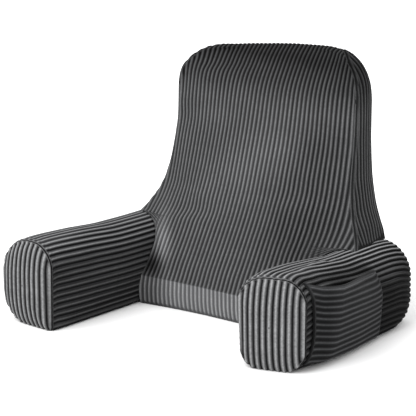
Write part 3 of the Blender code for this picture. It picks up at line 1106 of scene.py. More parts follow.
@dataclass
class EndCap(FilledPiece):
    """The domed panel sewn into an arm's front end, with upright wales."""

    name: str
    nodes: tuple[str, ...]
    form: ArmForm
    seed: int
    slot: Slot = Slot.CAP
    fill: float = 0.8
    rise: float = 0.020
    power: float = 2.7
    foot: float = 0.0006
    around: tuple[int, int] = (44, 380)
    rings: tuple[int, int] = (12, 62)
    floor_part: int = 12              # the foot has this part of the points around
    back_ring: float = 0.5

    def patches(self, fine: bool) -> list[Patch]:
        """The dome and its flat back.

        Args:
            fine: Picks the second of around and of rings; the first is the cage's.

        Returns:
            Both patches.
        """
        around = self.around[fine]
        depth = np.array([self.form.front()])
        line = self.form.outline(depth, around)
        floor = around // self.floor_part
        under = np.linspace(line[:, -1], line[:, 0], floor + 2, axis=1)[:, 1:-1]
        _, outwards, forwards = self.form.frame_at(depth)
        ring = self.form.in_place(depth, np.concatenate([line, under], axis=1))[0] + forwards[0] * PIECE_GAP
        points = dome(ring, forwards[0], self.rise, self.power, self.rings[fine])
        middle = ring.mean(axis=0)
        across = (points - middle) @ outwards[0]
        radius = np.linalg.norm(ring - middle, axis=1)[None, :]
        flat = points - middle - ((points - middle) @ forwards[0])[..., None] * forwards[0]
        reach = radius - np.linalg.norm(flat, axis=2) + (points - middle) @ forwards[0]
        held = np.zeros(points.shape[:2])
        held[0] = 1.0
        return [Patch(points, across, reach, held, True, CAP_CORDUROY), self.back(ring)]

    def back(self, ring: Grid) -> Patch:
        """The flat back against the arm, two rings wide."""
        middle = ring.mean(axis=0)
        return Patch.plain(np.stack([ring, middle + (ring - middle) * self.back_ring]))

    def lowest(self) -> float:
        """The cap clears the floor."""
        return self.foot

    def sew(self, skin: Skin, grids: list[Grid]) -> None:
        """Sews the dome to its back and closes both.

        Args:
            skin: The cap's skin.
            grids: The dome's and the back's numbers.
        """
        front, back = grids
        skin.loop_band(front[0], back[0])
        for ring in (front[-1], back[-1]):
            skin.close(ring)


# ---------------------------------------------------------------- back cushion


KICK_COLUMNS = ("height", "middle", "left", "right")
KICK_ROWS = (
    (0.0000, 0.0040, -0.0130, 0.0130),
    (0.0090, -0.0010, -0.0180, 0.0090),
    (0.0320, -0.0060, -0.0200, 0.0060),
    (0.0590, -0.0040, -0.0130, 0.0070),
)
PANEL_COLUMNS = ("height", "middle", "left", "right", "power")
PANEL_ROWS = (
    (0.0590, -0.0040, -0.0130, 0.0070, 2.0),
    (0.0800, 0.0090, 0.0050, 0.0180, 2.0),
    (0.1120, 0.0290, 0.0270, 0.0420, 2.2),
    (0.1430, 0.0475, 0.0505, 0.0700, 2.8),
    (0.1650, 0.0602, 0.0705, 0.0950, 3.4),
    (0.1770, 0.0670, 0.0830, 0.1090, 3.8),
    (0.2000, 0.0790, 0.1040, 0.1210, 4.0),
    (0.2400, 0.0970, 0.1220, 0.1290, 3.0),
    (0.2900, 0.1130, 0.1350, 0.1370, 2.0),
    (0.3600, 0.1330, 0.1480, 0.1470, 1.8),
    (0.4230, 0.1470, 0.1500, 0.1500, 1.8),
    (0.4480, 0.1545, 0.1505, 0.1530, 1.8),
    (0.4660, 0.1625, 0.1535, 0.1580, 2.0),
    (0.4800, 0.1705, 0.1590, 0.1630, 2.5),
    (0.4940, 0.1795, 0.1665, 0.1700, 3.0),
    (0.5065, 0.1895, 0.1755, 0.1785, 3.0),
    (0.5108, 0.1940, 0.1800, 0.1830, 3.0),
    (0.5135, 0.1972, 0.1835, 0.1865, 3.0),
)
OUTLINE_COLUMNS = ("height", "half_width", "rear_inset")
OUTLINE_ROWS = (
    (0.1648, 0.2595, 0.013),
    (0.1770, 0.2500, 0.008),
    (0.2000, 0.2365, 0.004),
    (0.2400, 0.2255, 0.005),
    (0.2900, 0.2195, 0.007),
    (0.3600, 0.2172, 0.009),
    (0.4230, 0.2166, 0.010),
    (0.4480, 0.2138, 0.010),
    (0.4660, 0.2075, 0.010),
    (0.4800, 0.1975, 0.010),
    (0.4940, 0.1810, 0.009),
    (0.5065, 0.1600, 0.010),
    (0.5108, 0.1470, 0.010),
    (0.5135, 0.1250, 0.010),
)
SAG_COLUMNS = ("across", "sag")
SAG_ROWS = (
    (-0.2200, 0.0),
    (-0.1900, 0.0005),
    (-0.1700, 0.0040),
    (-0.1500, 0.0080),
    (-0.1200, 0.0085),
    (-0.0800, 0.0062),
    (-0.0400, 0.0040),
    (0.0000, 0.0018),
    (0.0400, 0.0004),
    (0.0800, 0.0002),
    (0.1000, 0.0002),
    (0.1200, 0.0006),
    (0.1450, 0.0022),
    (0.1700, -0.0032),
    (0.1900, -0.0030),
    (0.2200, 0.0),
)
# painted light and shade on the panel: the left arm's shadow low on the left with a lit edge beside it, the
# middle lighter and the right side darker as the light falls on the curve, and some short strokes in the
# pile
LIGHT_AND_BRUSH_MARKS = (
    LightAndBrushMark(-0.158, 0.118, 0.055, 0.017, -58.0, 0.95),
    LightAndBrushMark(-0.165, 0.080, 0.040, 0.022, 0.0, -0.85),
    LightAndBrushMark(0.150, 0.180, 0.080, 0.080, 0.0, -0.30),
    LightAndBrushMark(0.010, 0.300, 0.130, 0.060, 35.0, 0.30),
    LightAndBrushMark(-0.110, 0.370, 0.060, 0.020, 10.0, 0.15),
    LightAndBrushMark(0.140, 0.330, 0.050, 0.050, 0.0, -0.22),
)


@dataclass
class BackCushion(FilledPiece):
    """The filled back: a front cover that rolls over the top, a gusset on each side, and a rear panel.

    Levels run up the back: fold is the band's, tip that of the two tips on the
    arms, shoulder the one from which the columns stand upright, corner the one
    from which the outline turns in, and top the last. Shares and stops space
    the fine rows, and cage_stops are the cage's. Pairs of counts are the
    cage's and the fine grid's.
    """

    name: str
    nodes: tuple[str, ...]
    arm: ArmForm
    seed: int = 11
    slot: Slot = Slot.BACK
    fill: float = 0.75
    fold: float = 0.0590
    tip: float = 0.1648
    seat_depth: float = 0.100         # where the arm's section sets the back's edge
    slant: float = 0.056
    slant_start: float = 0.300
    shoulder: float = 0.3600
    side: float = 0.2180
    still: float = 0.1600             # columns nearer the middle keep their places
    corner: float = 0.4230
    top: float = 0.5135
    rear_depth: float = 0.216
    rear_crown: float = 0.014
    rear_top_drop: float = 0.003
    side_bulge: float = 0.008
    top_bulge: float = 0.0065
    top_hold: float = 0.85
    wing_fade: float = 0.030
    wing_droop: float = 0.050
    gusset_tip: float = 0.104
    gusset_start: float = 0.194
    gusset_cut: float = 0.008         # how far before its tip a gusset ends
    least_cover: float = 0.03         # columns with a smaller share don't go over the top
    crowding: float = 0.15            # c in the columns' formula
    ease_start: float = 0.10          # the panel's width eases to the tips' from here
    droop_ramp: Ramp = Ramp(-0.004, 0.008)
    inset_ramp: Ramp = Ramp(0.12, 0.04)
    crown_start: Ramp = Ramp(0.0, 0.06)
    crown_end: Ramp = Ramp(0.38, 0.13)
    outer_ramp: Ramp = Ramp(0.12, 0.08)
    sag_ramp: Ramp = Ramp(0.455, 0.030)
    tight_ramp: Ramp = Ramp(0.43, 0.05)
    floor_reach: float = 1.5          # the wales' reach for each metre of height
    still_above: float = 0.002        # a gusset is held up to this over the tips
    groove_most: float = 0.2          # the most of a gusset's width that a groove takes
    leap_rows: tuple[int, int] = (4, 3)  # rows before and after the tips' level
    cover_rows: int = 101
    cover_columns: tuple[int, int] = (30, 424)
    over_rows: tuple[int, int] = (4, 16)
    rear_rows: int = 57
    rear_columns: tuple[int, int] = (26, 312)
    gusset_rows: int = 61
    gusset_columns: tuple[int, int] = (9, 92)
    corner_rows: tuple[int, int] = (15, 60)
    leg_points: int = 400
    corner_points: int = 600
    top_points: int = 901
    stops: tuple[float, ...] = (0.0, 0.052, 0.066, 0.140, 0.1646, 0.1650, 0.245, 0.360, 0.480, 0.5135)
    shares: tuple[float, ...] = (0.0, 0.06, 0.12, 0.22, 0.28, 0.29, 0.55, 0.70, 0.88, 1.0)
    gusset_stops: tuple[float, ...] = (0.0, 0.1646, 0.1650, 0.245, 0.360, 0.5135)
    gusset_shares: tuple[float, ...] = (0.0, 12 / 60, 13 / 60, 0.60, 0.80, 1.0)
    cage_stops: tuple[float, ...] = (
        0.0, 0.030, 0.059, 0.095, 0.130, 0.1646, 0.1650, 0.190, 0.220, 0.250, 0.285, 0.320,
        0.360, 0.395, 0.430, 0.460, 0.485, 0.5135,
    )
    end_step: float = 0.1             # places go on by this past the top
    # the panel's tone, with painted shade towards the crown and the top
    panel_tone: float = 0.64
    upper_dark: float = 0.32
    upper_ramp: Ramp = Ramp(0.40, 0.08)
    top_dark: float = 0.14
    top_ramp: Ramp = Ramp(0.47, 0.03)
    # painted light on the band, which faces the light
    band_tone: float = 1.32
    # the left arm's painted shadow on the band's left end
    band_dark: float = 0.50
    band_ramp: Ramp = Ramp(0.10, 0.06)
    fold_above: float = 0.001
    fold_fade: float = 0.003
    behind: Ramp = Ramp(0.17, 0.02)
    # painted shade on the sideways faces
    sides_dark: float = 0.35
    sides_ramp: Ramp = Ramp(0.55, 0.3)
    sides_rise: Ramp = Ramp(0.06, 0.02)

    def columns(self, count: int) -> Grid:
        """Where the upright columns stand above the shoulder, closer at the sides: (1 + c) s - c s ^ 3."""
        s = np.linspace(-1.0, 1.0, count)
        return self.side * ((1.0 + self.crowding) * s - self.crowding * s**3)

    def half_width(self, heights: Grid) -> Grid:
        """How far the cover reaches sideways.

        Below the tips that is the arm's inner face, moved by the seam's gap
        along its normals. Above them it is the table's half width.

        Args:
            heights: The heights.

        Returns:
            The half width at each.
        """
        outline = self.arm.outline(np.array([self.seat_depth]), self.leg_points)[0]
        along = np.gradient(outline, axis=0)
        along /= np.linalg.norm(along, axis=1, keepdims=True)
        lifted = outline + np.stack([-along[:, 1], along[:, 0]], axis=1) * SEAM_GAP
        first, peak = int(np.argmin(lifted[:, 0])), int(np.argmax(lifted[:, 1]))
        leg = lifted[first: peak + 1]
        offset = self.arm.column("offset", np.array([self.seat_depth]))[0]
        on_arm = offset + np.interp(heights, leg[:, 1], leg[:, 0])
        rows = columns_of(OUTLINE_COLUMNS, OUTLINE_ROWS)
        flare = flow(heights, rows["height"], rows["half_width"])
        return np.where(heights < self.tip, on_arm, flare)

    def rear_inset(self, heights: Grid) -> Grid:
        """How much narrower the rear panel is, on each side."""
        rows = columns_of(OUTLINE_COLUMNS, OUTLINE_ROWS)
        return flow(heights, rows["height"], rows["rear_inset"]) * self.inset_ramp.on(heights)

    def upright(self, columns: Grid, levels: Grid, rear: bool) -> tuple[Grid, Grid, Grid]:
        """Where a column crosses a level.

        Up to the shoulder a level is a height, and the outer columns spread to
        the outline. Above it the columns stand upright and the levels rise
        from the shoulder to the top line over each column.

        Args:
            columns: The columns' places above the shoulder.
            levels: The levels.
            rear: Whether the rear panel is meant, which is narrower.

        Returns:
            The distance from the middle plane, the height, and the half width there.
        """
        def half_at(heights: Grid) -> Grid:
            """The panel's half width."""
            return self.half_width(heights) - (self.rear_inset(heights) if rear else 0.0)

        samples = np.linspace(self.corner, self.top, self.corner_points)
        halves = half_at(samples)
        widest = halves[0]
        low = np.minimum(levels, self.shoulder)
        size = np.abs(columns) * widest / self.side
        spreading = np.clip((size - self.still) / (widest - self.still), 0.0, 1.0)
        across = np.minimum(size, self.still) + spreading * (half_at(low) - self.still)
        top_line = np.interp(size, halves[::-1], samples[::-1])
        over = np.clip((levels - self.shoulder) / (self.top - self.shoulder), 0.0, 1.0)
        heights = low + over * (top_line - self.shoulder)
        return np.sign(columns) * across, heights, half_at(heights)

    def front_points(self, columns: Grid, levels: Grid) -> Grid:
        """The front panel, before the top's slant.

        The depth runs from the middle's to the seam's as the share of the half
        width to a power that changes with the height. Under the tips the half
        width is eased towards the tips' own, so the depth doesn't jump there.
        A band stands upright below the fold.

        Args:
            columns: The columns' places above the shoulder.
            levels: The levels.

        Returns:
            The points.
        """
        across, heights, half = self.upright(columns, levels, rear=False)
        kick, panel = columns_of(KICK_COLUMNS, KICK_ROWS), columns_of(PANEL_COLUMNS, PANEL_ROWS)

        def depth_of(name: str) -> Grid:
            """One line's depth, with a sharp fold between the band and the panel."""
            band = flow(heights, kick["height"], kick[name])
            return np.where(heights < self.fold, band, flow(heights, panel["height"], panel[name]))

        middle = depth_of("middle")
        seam = np.where(across < 0.0, depth_of("left"), depth_of("right"))
        widening = OUTLINE_ROWS[0][1] - half
        eased = smooth_step((heights - self.ease_start) / (self.tip - self.ease_start))
        eased *= heights < self.tip
        share = np.clip(np.abs(across) / (half + widening * eased), 0.0, 1.0)
        depth = middle + (seam - middle) * share ** flow(heights, panel["height"], panel["power"])
        return np.stack([across, FRONT_LINE_Y + depth, heights], axis=-1)

    def rear_points(self, columns: Grid, levels: Grid) -> Grid:
        """The rear panel, before the top's slant: flat, with a crown that ends before the top.

        The crown is 1 minus the squared share of the half width.

        Args:
            columns: The columns' places above the shoulder.
            levels: The levels.

        Returns:
            The points.
        """
        across, heights, half = self.upright(columns, levels, rear=True)
        crown = self.rear_crown * (1.0 - np.clip(across / half, -1.0, 1.0) ** 2)
        crown = crown * self.crown_start.on(heights) * (1.0 - self.crown_end.on(heights))
        up = heights - self.rear_top_drop * (heights / self.top) ** 4
        return np.stack([across, FRONT_LINE_Y + self.rear_depth + crown, up], axis=-1)

    def over_the_top(self, columns: Grid, shares: Grid) -> Grid:
        """The surface from the rear panel's top line (share 0) to the front's (share 1).

        It swells outwards by a sine of the share.

        Args:
            columns: The columns' places.
            shares: The shares.

        Returns:
            The points.
        """
        at = np.linspace(-self.side, self.side, self.top_points)
        tops = np.full_like(at, self.top)
        front, rear = self.front_points(at, tops), self.rear_points(at, tops)
        ahead = np.gradient(front, axis=0)
        out = np.stack([-ahead[:, 2], np.zeros(len(at)), ahead[:, 0]], axis=1)
        out /= np.linalg.norm(out, axis=1, keepdims=True)
        table = np.concatenate([front, rear, out], axis=1)
        picked = np.stack([np.interp(columns, at, column) for column in table.T], axis=-1)
        front, rear, out = picked[..., :3], picked[..., 3:6], picked[..., 6:]
        outer = self.outer_ramp.on(np.abs(columns))
        swell = (self.top_bulge + (self.side_bulge - self.top_bulge) * outer) * np.sin(np.pi * shares)
        return rear + (front - rear) * shares[..., None] + out * swell[..., None]

    def cover_share(self, columns: Grid) -> Grid:
        """How much of the top the front cover takes: all in the middle, nothing over the gussets."""
        ramp = (np.abs(columns) - self.gusset_tip) / (self.gusset_start - self.gusset_tip)
        return 1.0 - smooth_step(ramp)

    def set_down(self, points: Grid, levels: Grid) -> Grid:
        """Adds the top's slant and lays the tips on the arms.

        Above the tips a point beyond the arm's ridge hangs lower by the arm's
        fall there, which fades out with the height.

        Args:
            points: The points, before the slant.
            levels: Their levels.

        Returns:
            The points in their places.
        """
        across, depths, heights = np.abs(points[..., 0]), points[..., 1] - FRONT_LINE_Y, points[..., 2]
        here = np.array([self.seat_depth])
        radius = self.arm.column("outer_top", here)[0]
        ridge = self.arm.column("offset", here)[0] + self.arm.column("width", here)[0] / 2.0 - radius
        arm_top = self.arm.column("height", depths.ravel()).reshape(depths.shape)
        beyond = np.clip(across - ridge, 0.0, radius)
        rests_at = arm_top - TIP_PRESS - (radius - np.sqrt(radius**2 - beyond**2))
        above = levels - self.tip
        fade = np.where(above < 0.0, 0.0, 1.0 - smooth_step(above / self.wing_droop))
        fall = (self.tip - rests_at) * fade * self.droop_ramp.on(across - ridge)
        slope = self.slant * smooth_step((heights - self.slant_start) / (self.top - self.slant_start))
        rows = columns_of(SAG_COLUMNS, SAG_ROWS)
        sag = flow(points[..., 0], rows["across"], rows["sag"]) * self.sag_ramp.on(heights)
        placed = points.copy()
        placed[..., 2] = heights + slope * points[..., 0] - sag - fall
        return placed

    @staticmethod
    def rim(points: Grid) -> Grid:
        """1 on a grid's first and last row and column, and 0 inside.

        Args:
            points: The grid.

        Returns:
            Rows by columns.
        """
        held = np.ones(points.shape[:2])
        held[1:-1, 1:-1] = 0.0
        return held

    def cover(self, fine: bool) -> Patch:
        """The front cover: the band, the panel, and the part that rolls over the top to the rear seam.

        Args:
            fine: Whether the fine grid is wanted.

        Returns:
            The patch.
        """
        over, count = self.over_rows[fine], self.cover_columns[fine]
        columns = self.columns(count)
        rise = self.levels(self.cover_rows, fine)
        rows = len(rise)
        panel = self.front_points(*np.broadcast_arrays(columns[None], rise[:, None]))
        steps = np.linspace(0.0, 1.0, over + 1)[1:, None]
        taken = self.cover_share(columns)[None]
        crown = self.over_the_top(np.broadcast_to(columns, (over, count)), 1.0 - taken * steps)
        levels = np.r_[rise, np.full(over, self.top)][:, None]
        levels = np.broadcast_to(levels, (rows + over, count))
        points = self.set_down(np.concatenate([panel, crown]), levels)
        shown = (np.arange(rows + over)[:, None] < rows) | (taken > self.least_cover)
        edge = np.concatenate([points[i, j][None] for i, j in self.cover_edges(rows, over, count)])
        held = np.where(shown, self.rim(points), 1.0)
        held[rows - 1, taken[0] <= self.least_cover] = 1.0
        held[int(np.argmin(np.abs(rise - self.fold)))] = 1.0
        seam = nearest(points, edge) if fine else held
        reach = np.minimum(seam, points[..., 2] * self.floor_reach)
        places = np.r_[rise, self.top + self.end_step * steps[:, 0]]
        leap = self.leap(rise, fine)
        return Patch(points, points[..., 0], reach, held, False, BACK_CORDUROY, shown, leap, places, seam)

    def levels(self, rows: int, fine: bool) -> Grid:
        """The rows' levels: closer together at the fold and above the tips, or the cage's."""
        even = np.linspace(0.0, 1.0, rows)
        return flow(even, self.shares, self.stops) if fine else np.array(self.cage_stops)

    def leap(self, levels: Grid, fine: bool) -> Optional[tuple[int, int]]:
        """The rows over which the columns leap sideways to the tips; none on the cage."""
        row, (before, after) = int(np.searchsorted(levels, self.tip)), self.leap_rows
        return (row - before, row + after) if fine else None

    def cover_edges(self, rows: int, over: int, count: int) -> list[tuple[int, int]]:
        """The row and column of every point on the cover's seam, from one foot over the top to the other.

        Args:
            rows: How many rows the panel has.
            over: How many more go over the top.
            count: How many columns there are.

        Returns:
            Pairs of a row and a column.
        """
        first, tip = self.cover_ends(count)
        last, end = rows - 1, rows + over - 1
        up = [(i, 0) for i in range(last)] + [(last, j) for j in range(first)]
        up += [(i, first) for i in range(last, end)] + [(end, j) for j in range(first, tip + 1)]
        down = [(i, count - 1 - j) for i, j in reversed(up)]
        return up + [(end, j) for j in range(tip + 1, count - 1 - tip)] + down

    def cover_ends(self, count: int) -> tuple[int, int]:
        """The first columns that go over the top at all, and all the way.

        Args:
            count: How many columns there are.

        Returns:
            Both columns' numbers.
        """
        columns = self.columns(count)
        first = int(np.argmax(self.cover_share(columns) > self.least_cover))
        return first, self.tip_column(columns)

    def tip_column(self, columns: Grid) -> int:
        """The first column at or inside the gussets' upper ends."""
        return int(np.argmax(columns >= -self.gusset_end()))

    def gusset_end(self) -> float:
        """Where a gusset ends on the top, a little before its tip."""
        return self.gusset_tip + self.gusset_cut

    def rear(self, fine: bool) -> Patch:
        """The rear panel.

        Args:
            fine: Whether the fine grid is wanted.

        Returns:
            The patch.
        """
        levels = self.levels(self.rear_rows, fine)
        grid = np.broadcast_arrays(self.columns(self.rear_columns[fine])[None], levels[:, None])
        points = self.set_down(self.rear_points(*grid), grid[1])
        edge = np.concatenate([points[:, 0], points[-1], points[:, -1]])
        reach = np.minimum(nearest(points, edge), points[..., 2] * self.floor_reach)
        leap = self.leap(levels, fine)
        held = self.rim(points)
        return Patch(points, points[..., 0], reach, held, False, BACK_CORDUROY, None, leap, levels)

    def gusset(self, fine: bool, way: float) -> Patch:
        """One side's gusset, from the floor over the corner to its tip on the top.

        Its wales keep their distance from the rear seam, so the front seam cuts
        them off where the gusset narrows. Below the tips it is smooth.

        Args:
            fine: Whether the fine grid is wanted.
            way: -1 for the left side, 1 for the right.

        Returns:
            The patch.
        """
        corner_rows, count = self.corner_rows[fine], self.gusset_columns[fine]
        even = np.linspace(0.0, 1.0, self.gusset_rows)
        levels = flow(even, self.gusset_shares, self.gusset_stops) if fine else np.array(self.cage_stops)
        side_rows = len(levels)
        at_side = np.full(side_rows, way * self.side)
        front, rear = self.front_points(at_side, levels), self.rear_points(at_side, levels)
        ahead = np.gradient(front, axis=0) * way
        out = np.stack([ahead[:, 2], np.zeros(side_rows), -ahead[:, 0]], axis=1)
        out /= np.maximum(np.linalg.norm(out, axis=1, keepdims=True), TINY)
        turn = np.linspace(0.0, np.pi / 2.0, corner_rows + 1)[1:]
        corner = self.gusset_end() + (self.side - self.gusset_end()) * np.cos(turn)
        left_over = 1.0 - self.cover_share(corner)
        corner_front = self.over_the_top(way * corner, np.ones(corner_rows))
        corner_rear = self.over_the_top(way * corner, np.zeros(corner_rows))
        whole = np.linalg.norm(np.concatenate([front - rear, corner_front - corner_rear]), axis=1)
        taken = np.r_[np.ones(side_rows), left_over]
        groove = np.minimum(SEAM_GROOVE / whole, self.groove_most * taken)[:, None]
        share = groove + (taken[:, None] - 2.0 * groove) * np.linspace(0.0, 1.0, count)[None]
        rise = smooth_step((levels - self.tip) / self.wing_fade)
        swell = self.side_bulge * rise[:, None] * np.sin(np.pi * share[:side_rows])
        low = rear[:, None] + (front - rear)[:, None] * share[:side_rows, :, None]
        low += out[:, None] * swell[..., None]
        columns = np.broadcast_to(way * corner[:, None], (corner_rows, count))
        high = self.over_the_top(columns, share[side_rows:])
        all_levels = np.r_[levels, np.full(corner_rows, self.top)][:, None]
        points = self.set_down(np.concatenate([low, high]), np.broadcast_to(all_levels, share.shape))
        from_rear, from_front = share * whole[:, None], (taken[:, None] - share) * whole[:, None]
        shown_rise = np.r_[rise, np.ones(corner_rows)][:, None]
        reach = np.minimum(from_rear, from_front) * shown_rise
        held = np.zeros(share.shape)
        held[:, [0, -1]] = 1.0
        held[all_levels[:, 0] < self.tip + self.still_above] = 1.0
        held[-1] = 1.0
        places = np.r_[levels, self.top + self.end_step * turn]
        return Patch(points, from_rear, reach, held, False, GUSSET_CORDUROY, places=places, seam=from_front)

    def patches(self, fine: bool) -> list[Patch]:
        """Front cover, rear panel, left and right gusset."""
        return [self.cover(fine), self.rear(fine), self.gusset(fine, -1.0), self.gusset(fine, 1.0)]

    def sew(self, skin: Skin, grids: list[Grid]) -> None:
        """Sews the gussets and the rear panel to the cover and closes the base.

        Args:
            skin: The back's skin.
            grids: The cover's, the rear panel's and both gussets' numbers.
        """
        cover, rear, left, right = grids
        count, rear_count = cover.shape[1], rear.shape[1]
        over = self.over_rows[len(cover) > self.cover_rows]
        edges = np.array([cover[i, j] for i, j in self.cover_edges(len(cover) - over, over, count)])
        tip = self.cover_ends(count)[1]
        rear_tip = self.tip_column(self.columns(rear_count))
        up = int(np.flatnonzero(edges == cover[-1, tip])[0]) + 1
        chains = (
            (edges[:up], np.r_[rear[:, 0], rear[-1, 1: rear_tip + 1]], left),
            (edges[::-1][:up], np.r_[rear[:, -1], rear[-1, ::-1][1: rear_tip + 1]], right),
        )
        for front_chain, rear_chain, gusset in chains:
            skin.band(front_chain, gusset[:, -1])
            skin.band(rear_chain, gusset[:, 0])
            skin.band(np.array([front_chain[-1], rear_chain[-1]]), gusset[-1, ::-1])
        skin.band(cover[-1, tip: count - tip], rear[-1, rear_tip: rear_count - rear_tip])
        skin.fan(np.r_[cover[0], right[0, ::-1], rear[0, ::-1], left[0]], np.zeros(3))

    def slack(self, points: Grid) -> Grid:
        """The cloth is drawn tight over the top."""
        return 1.0 - self.top_hold * self.tight_ramp.on(points[..., 2])

    def tone(self, points: Grid, normals: Grid) -> Grid:
        """Painted light and shade: the band painted lightest, where it faces the light, with the left arm's
        painted shadow on its left end, and painted shade towards the top and on the sideways faces and
        gussets.

        Ramps over the height and the depth part the band, the panel and the
        rear, and the marks of painted light and shade, with some strokes in the pile, multiply what lies
        above the fold.

        Args:
            points: The points.
            normals: Their unit normals.

        Returns:
            Their tones.
        """
        across, heights = points[:, 0], points[:, 2]
        panel = self.panel_tone - self.upper_dark * self.upper_ramp.on(heights)
        panel -= self.top_dark * self.top_ramp.on(heights)
        band = self.band_tone - self.band_dark * self.band_ramp.on(-across)
        low = smooth_step((self.fold + self.fold_above - heights) / self.fold_fade)
        ahead = 1.0 - self.behind.on(points[:, 1] - FRONT_LINE_Y)
        tone = panel + (band - panel) * low * ahead
        # painted light and shade, with some strokes in the pile
        marks = np.sum([mark.on(across, heights) for mark in LIGHT_AND_BRUSH_MARKS], axis=0) * ahead
        sides = self.sides_ramp.on(np.abs(normals[:, 0])) * self.sides_rise.on(heights)
        return tone * (1.0 + marks * (1.0 - low)) * (1.0 - self.sides_dark * sides)


# ---------------------------------------------------------------- pocket


@dataclass
class SidePocket(FilledPiece):
    """The pocket: one sheet, sewn on three sides to the arm's outer face and standing open at its top.

    The sheet's two faces are an outer and an inner skin. Its front end is
    bent outwards to a soft corner, from which it runs straight to its rear
    seam.
    """

    name: str
    nodes: tuple[str, ...]
    form: ArmForm
    seed: int = 41
    slot: Slot = Slot.POCKET
    front: float = -0.1604
    top_lean: float = -0.003
    foot_lean: float = -0.0116
    rear: float = 0.0863
    rear_lean: float = -0.0095
    foot: float = 0.006
    foot_rise: float = 0.010
    line_shares: tuple[float, ...] = (0.0, 0.10, 0.22, 0.38, 0.55, 0.72, 0.86, 1.0)
    top_line: tuple[float, ...] = (0.168, 0.159, 0.156, 0.1535, 0.1493, 0.1435, 0.1393, 0.136)
    sheet: float = 0.0024
    lift: float = 0.0023
    bulge: float = 0.022
    corner: float = 0.27
    front_ease: float = 1.4
    rear_ease: float = 1.15
    rise_power: float = 0.45
    lean_start: float = 0.6
    lean_end: float = 0.35
    wales: int = 13
    hook: float = 0.0045
    hook_length: float = 0.007
    hem: float = 0.0010
    hem_steepness: float = 40.0
    rows: tuple[int, int] = (14, 132)
    columns: tuple[int, int] = (16, 140)
    height_span: float = 0.15         # the height, in the wales' reach
    foot_reach: float = 0.0004
    foot_held: float = 0.12
    ends_held: float = 0.012
    uneven_length: float = 0.08
    deepest: float = -0.0008
    inner_crest: float = 0.3
    face_tone: float = 0.60
    hem_light: float = 0.25
    hem_ramp: Ramp = Ramp(0.135, 0.015)
    front_dark: float = 0.26
    behind: Ramp = Ramp(-0.11, 0.03)

    def face(self, along: Grid, rise: Grid, out: float) -> Grid:
        """The pocket at shares along its width and up its height, out metres beyond its inner face.

        It stands off the arm by the bulge times the height share to a power,
        times an ease that rises to 1 at the corner and falls to 0 at the seams.

        Args:
            along: Shares of the width, from the front end.
            rise: Shares of the height.
            out: How far out.

        Returns:
            The points.
        """
        front = self.front + self.foot_lean * smooth_step(1.0 - rise / self.lean_end)
        front = front + self.top_lean * smooth_step((rise - self.lean_start) / (1.0 - self.lean_start))
        rear = self.rear + self.rear_lean * (1.0 - rise) ** 2
        depths = front + (rear - front) * along
        top = flow(along, self.line_shares, self.top_line)
        foot = self.foot + self.foot_rise * (1.0 - smooth_step(along / self.corner))
        heights = foot + (top - foot) * rise
        on_arm, widest, waist = self.form.outer_side(depths, heights)
        wall = np.where(heights < waist, on_arm, widest)
        before = 1.0 - np.clip(1.0 - along / self.corner, 0.0, 1.0) ** self.front_ease
        after = 1.0 - np.clip((along - self.corner) / (1.0 - self.corner), 0.0, 1.0) ** self.rear_ease
        ease = np.where(along < self.corner, before, after)
        reach = on_arm + (wall - on_arm + self.bulge * rise**self.rise_power) * ease + self.lift + out
        middle, outwards, _ = self.form.frame_at(depths.ravel())
        points = middle.reshape(*depths.shape, 3) + reach[..., None] * outwards.reshape(*depths.shape, 3)
        points[..., 2] = heights
        return points

    def patches(self, fine: bool) -> list[Patch]:
        """The outer and the inner face.

        The wales run along it and hook a little at its rear end.

        Args:
            fine: Picks the second of rows and of columns.

        Returns:
            Both patches.
        """
        shares = [np.linspace(0.0, 1.0, count[fine]) for count in (self.rows, self.columns)]
        rise, along = np.meshgrid(*shares, indexing="ij")
        hem = self.hem * smooth_step((rise - 1.0 + 1.0 / self.wales) * self.hem_steepness)
        outer = self.face(along, rise, self.sheet + hem)
        inner = self.face(along, rise, 0.0)
        width = np.linalg.norm(outer[0, -1] - outer[0, 0])
        ends = np.minimum(along, 1.0 - along) * width
        reach = np.minimum(ends, rise * self.height_span + self.foot_reach)
        seam = np.minimum(ends, (1.0 - rise) * self.height_span)
        pulled = self.hook * np.exp(-(1.0 - along) * width / self.hook_length)
        across = (rise * self.wales + 0.5) * POCKET_CORDUROY.pitch - pulled
        held = np.ones(outer.shape[:2])
        held[rise > self.foot_held] = 0.0
        held[ends < self.ends_held] = 1.0
        return [
            Patch(outer, across, reach, held, False, POCKET_CORDUROY, seam=seam),
            Patch(inner, across, reach, held),
        ]

    def sew(self, skin: Skin, grids: list[Grid]) -> None:
        """Joins the two faces round their edges.

        Args:
            skin: The pocket's skin.
            grids: The outer and the inner face's numbers.
        """
        outer, inner = grids
        for pick in (np.s_[0], np.s_[-1], np.s_[:, 0], np.s_[:, -1]):
            skin.quads.append(
                np.stack([outer[pick][:-1], outer[pick][1:], inner[pick][1:], inner[pick][:-1]], axis=1)
            )

    def swelling(self, filling: Filling) -> list[tuple[Grid, Grid]]:
        """Nothing: the pocket isn't filled."""
        return []

    def ribbed(self, patch: Patch, inside: Grid, seed: int) -> tuple[Grid, Grid]:
        """Raises the outer face's wales straight away from the arm; the inner face is plain.

        Args:
            patch: The face.
            inside: Not needed here.
            seed: Picks the cloth's unevenness.

        Returns:
            The points, and their nearness to a crest.
        """
        if patch.corduroy is None:
            return patch.points.copy(), np.full(patch.points.shape[:2], self.inner_crest)
        uneven = wander(patch.across, patch.points[..., 1], self.uneven_length, seed)
        lift, crests = patch.corduroy.raised(patch.across, patch.reach, patch.seam_reach(), uneven)
        _, outwards, _ = self.form.frame_at(patch.points[..., 1].ravel() - FRONT_LINE_Y)
        lift = np.maximum(lift, self.deepest)[..., None]
        return patch.points + outwards.reshape(patch.points.shape) * lift, crests

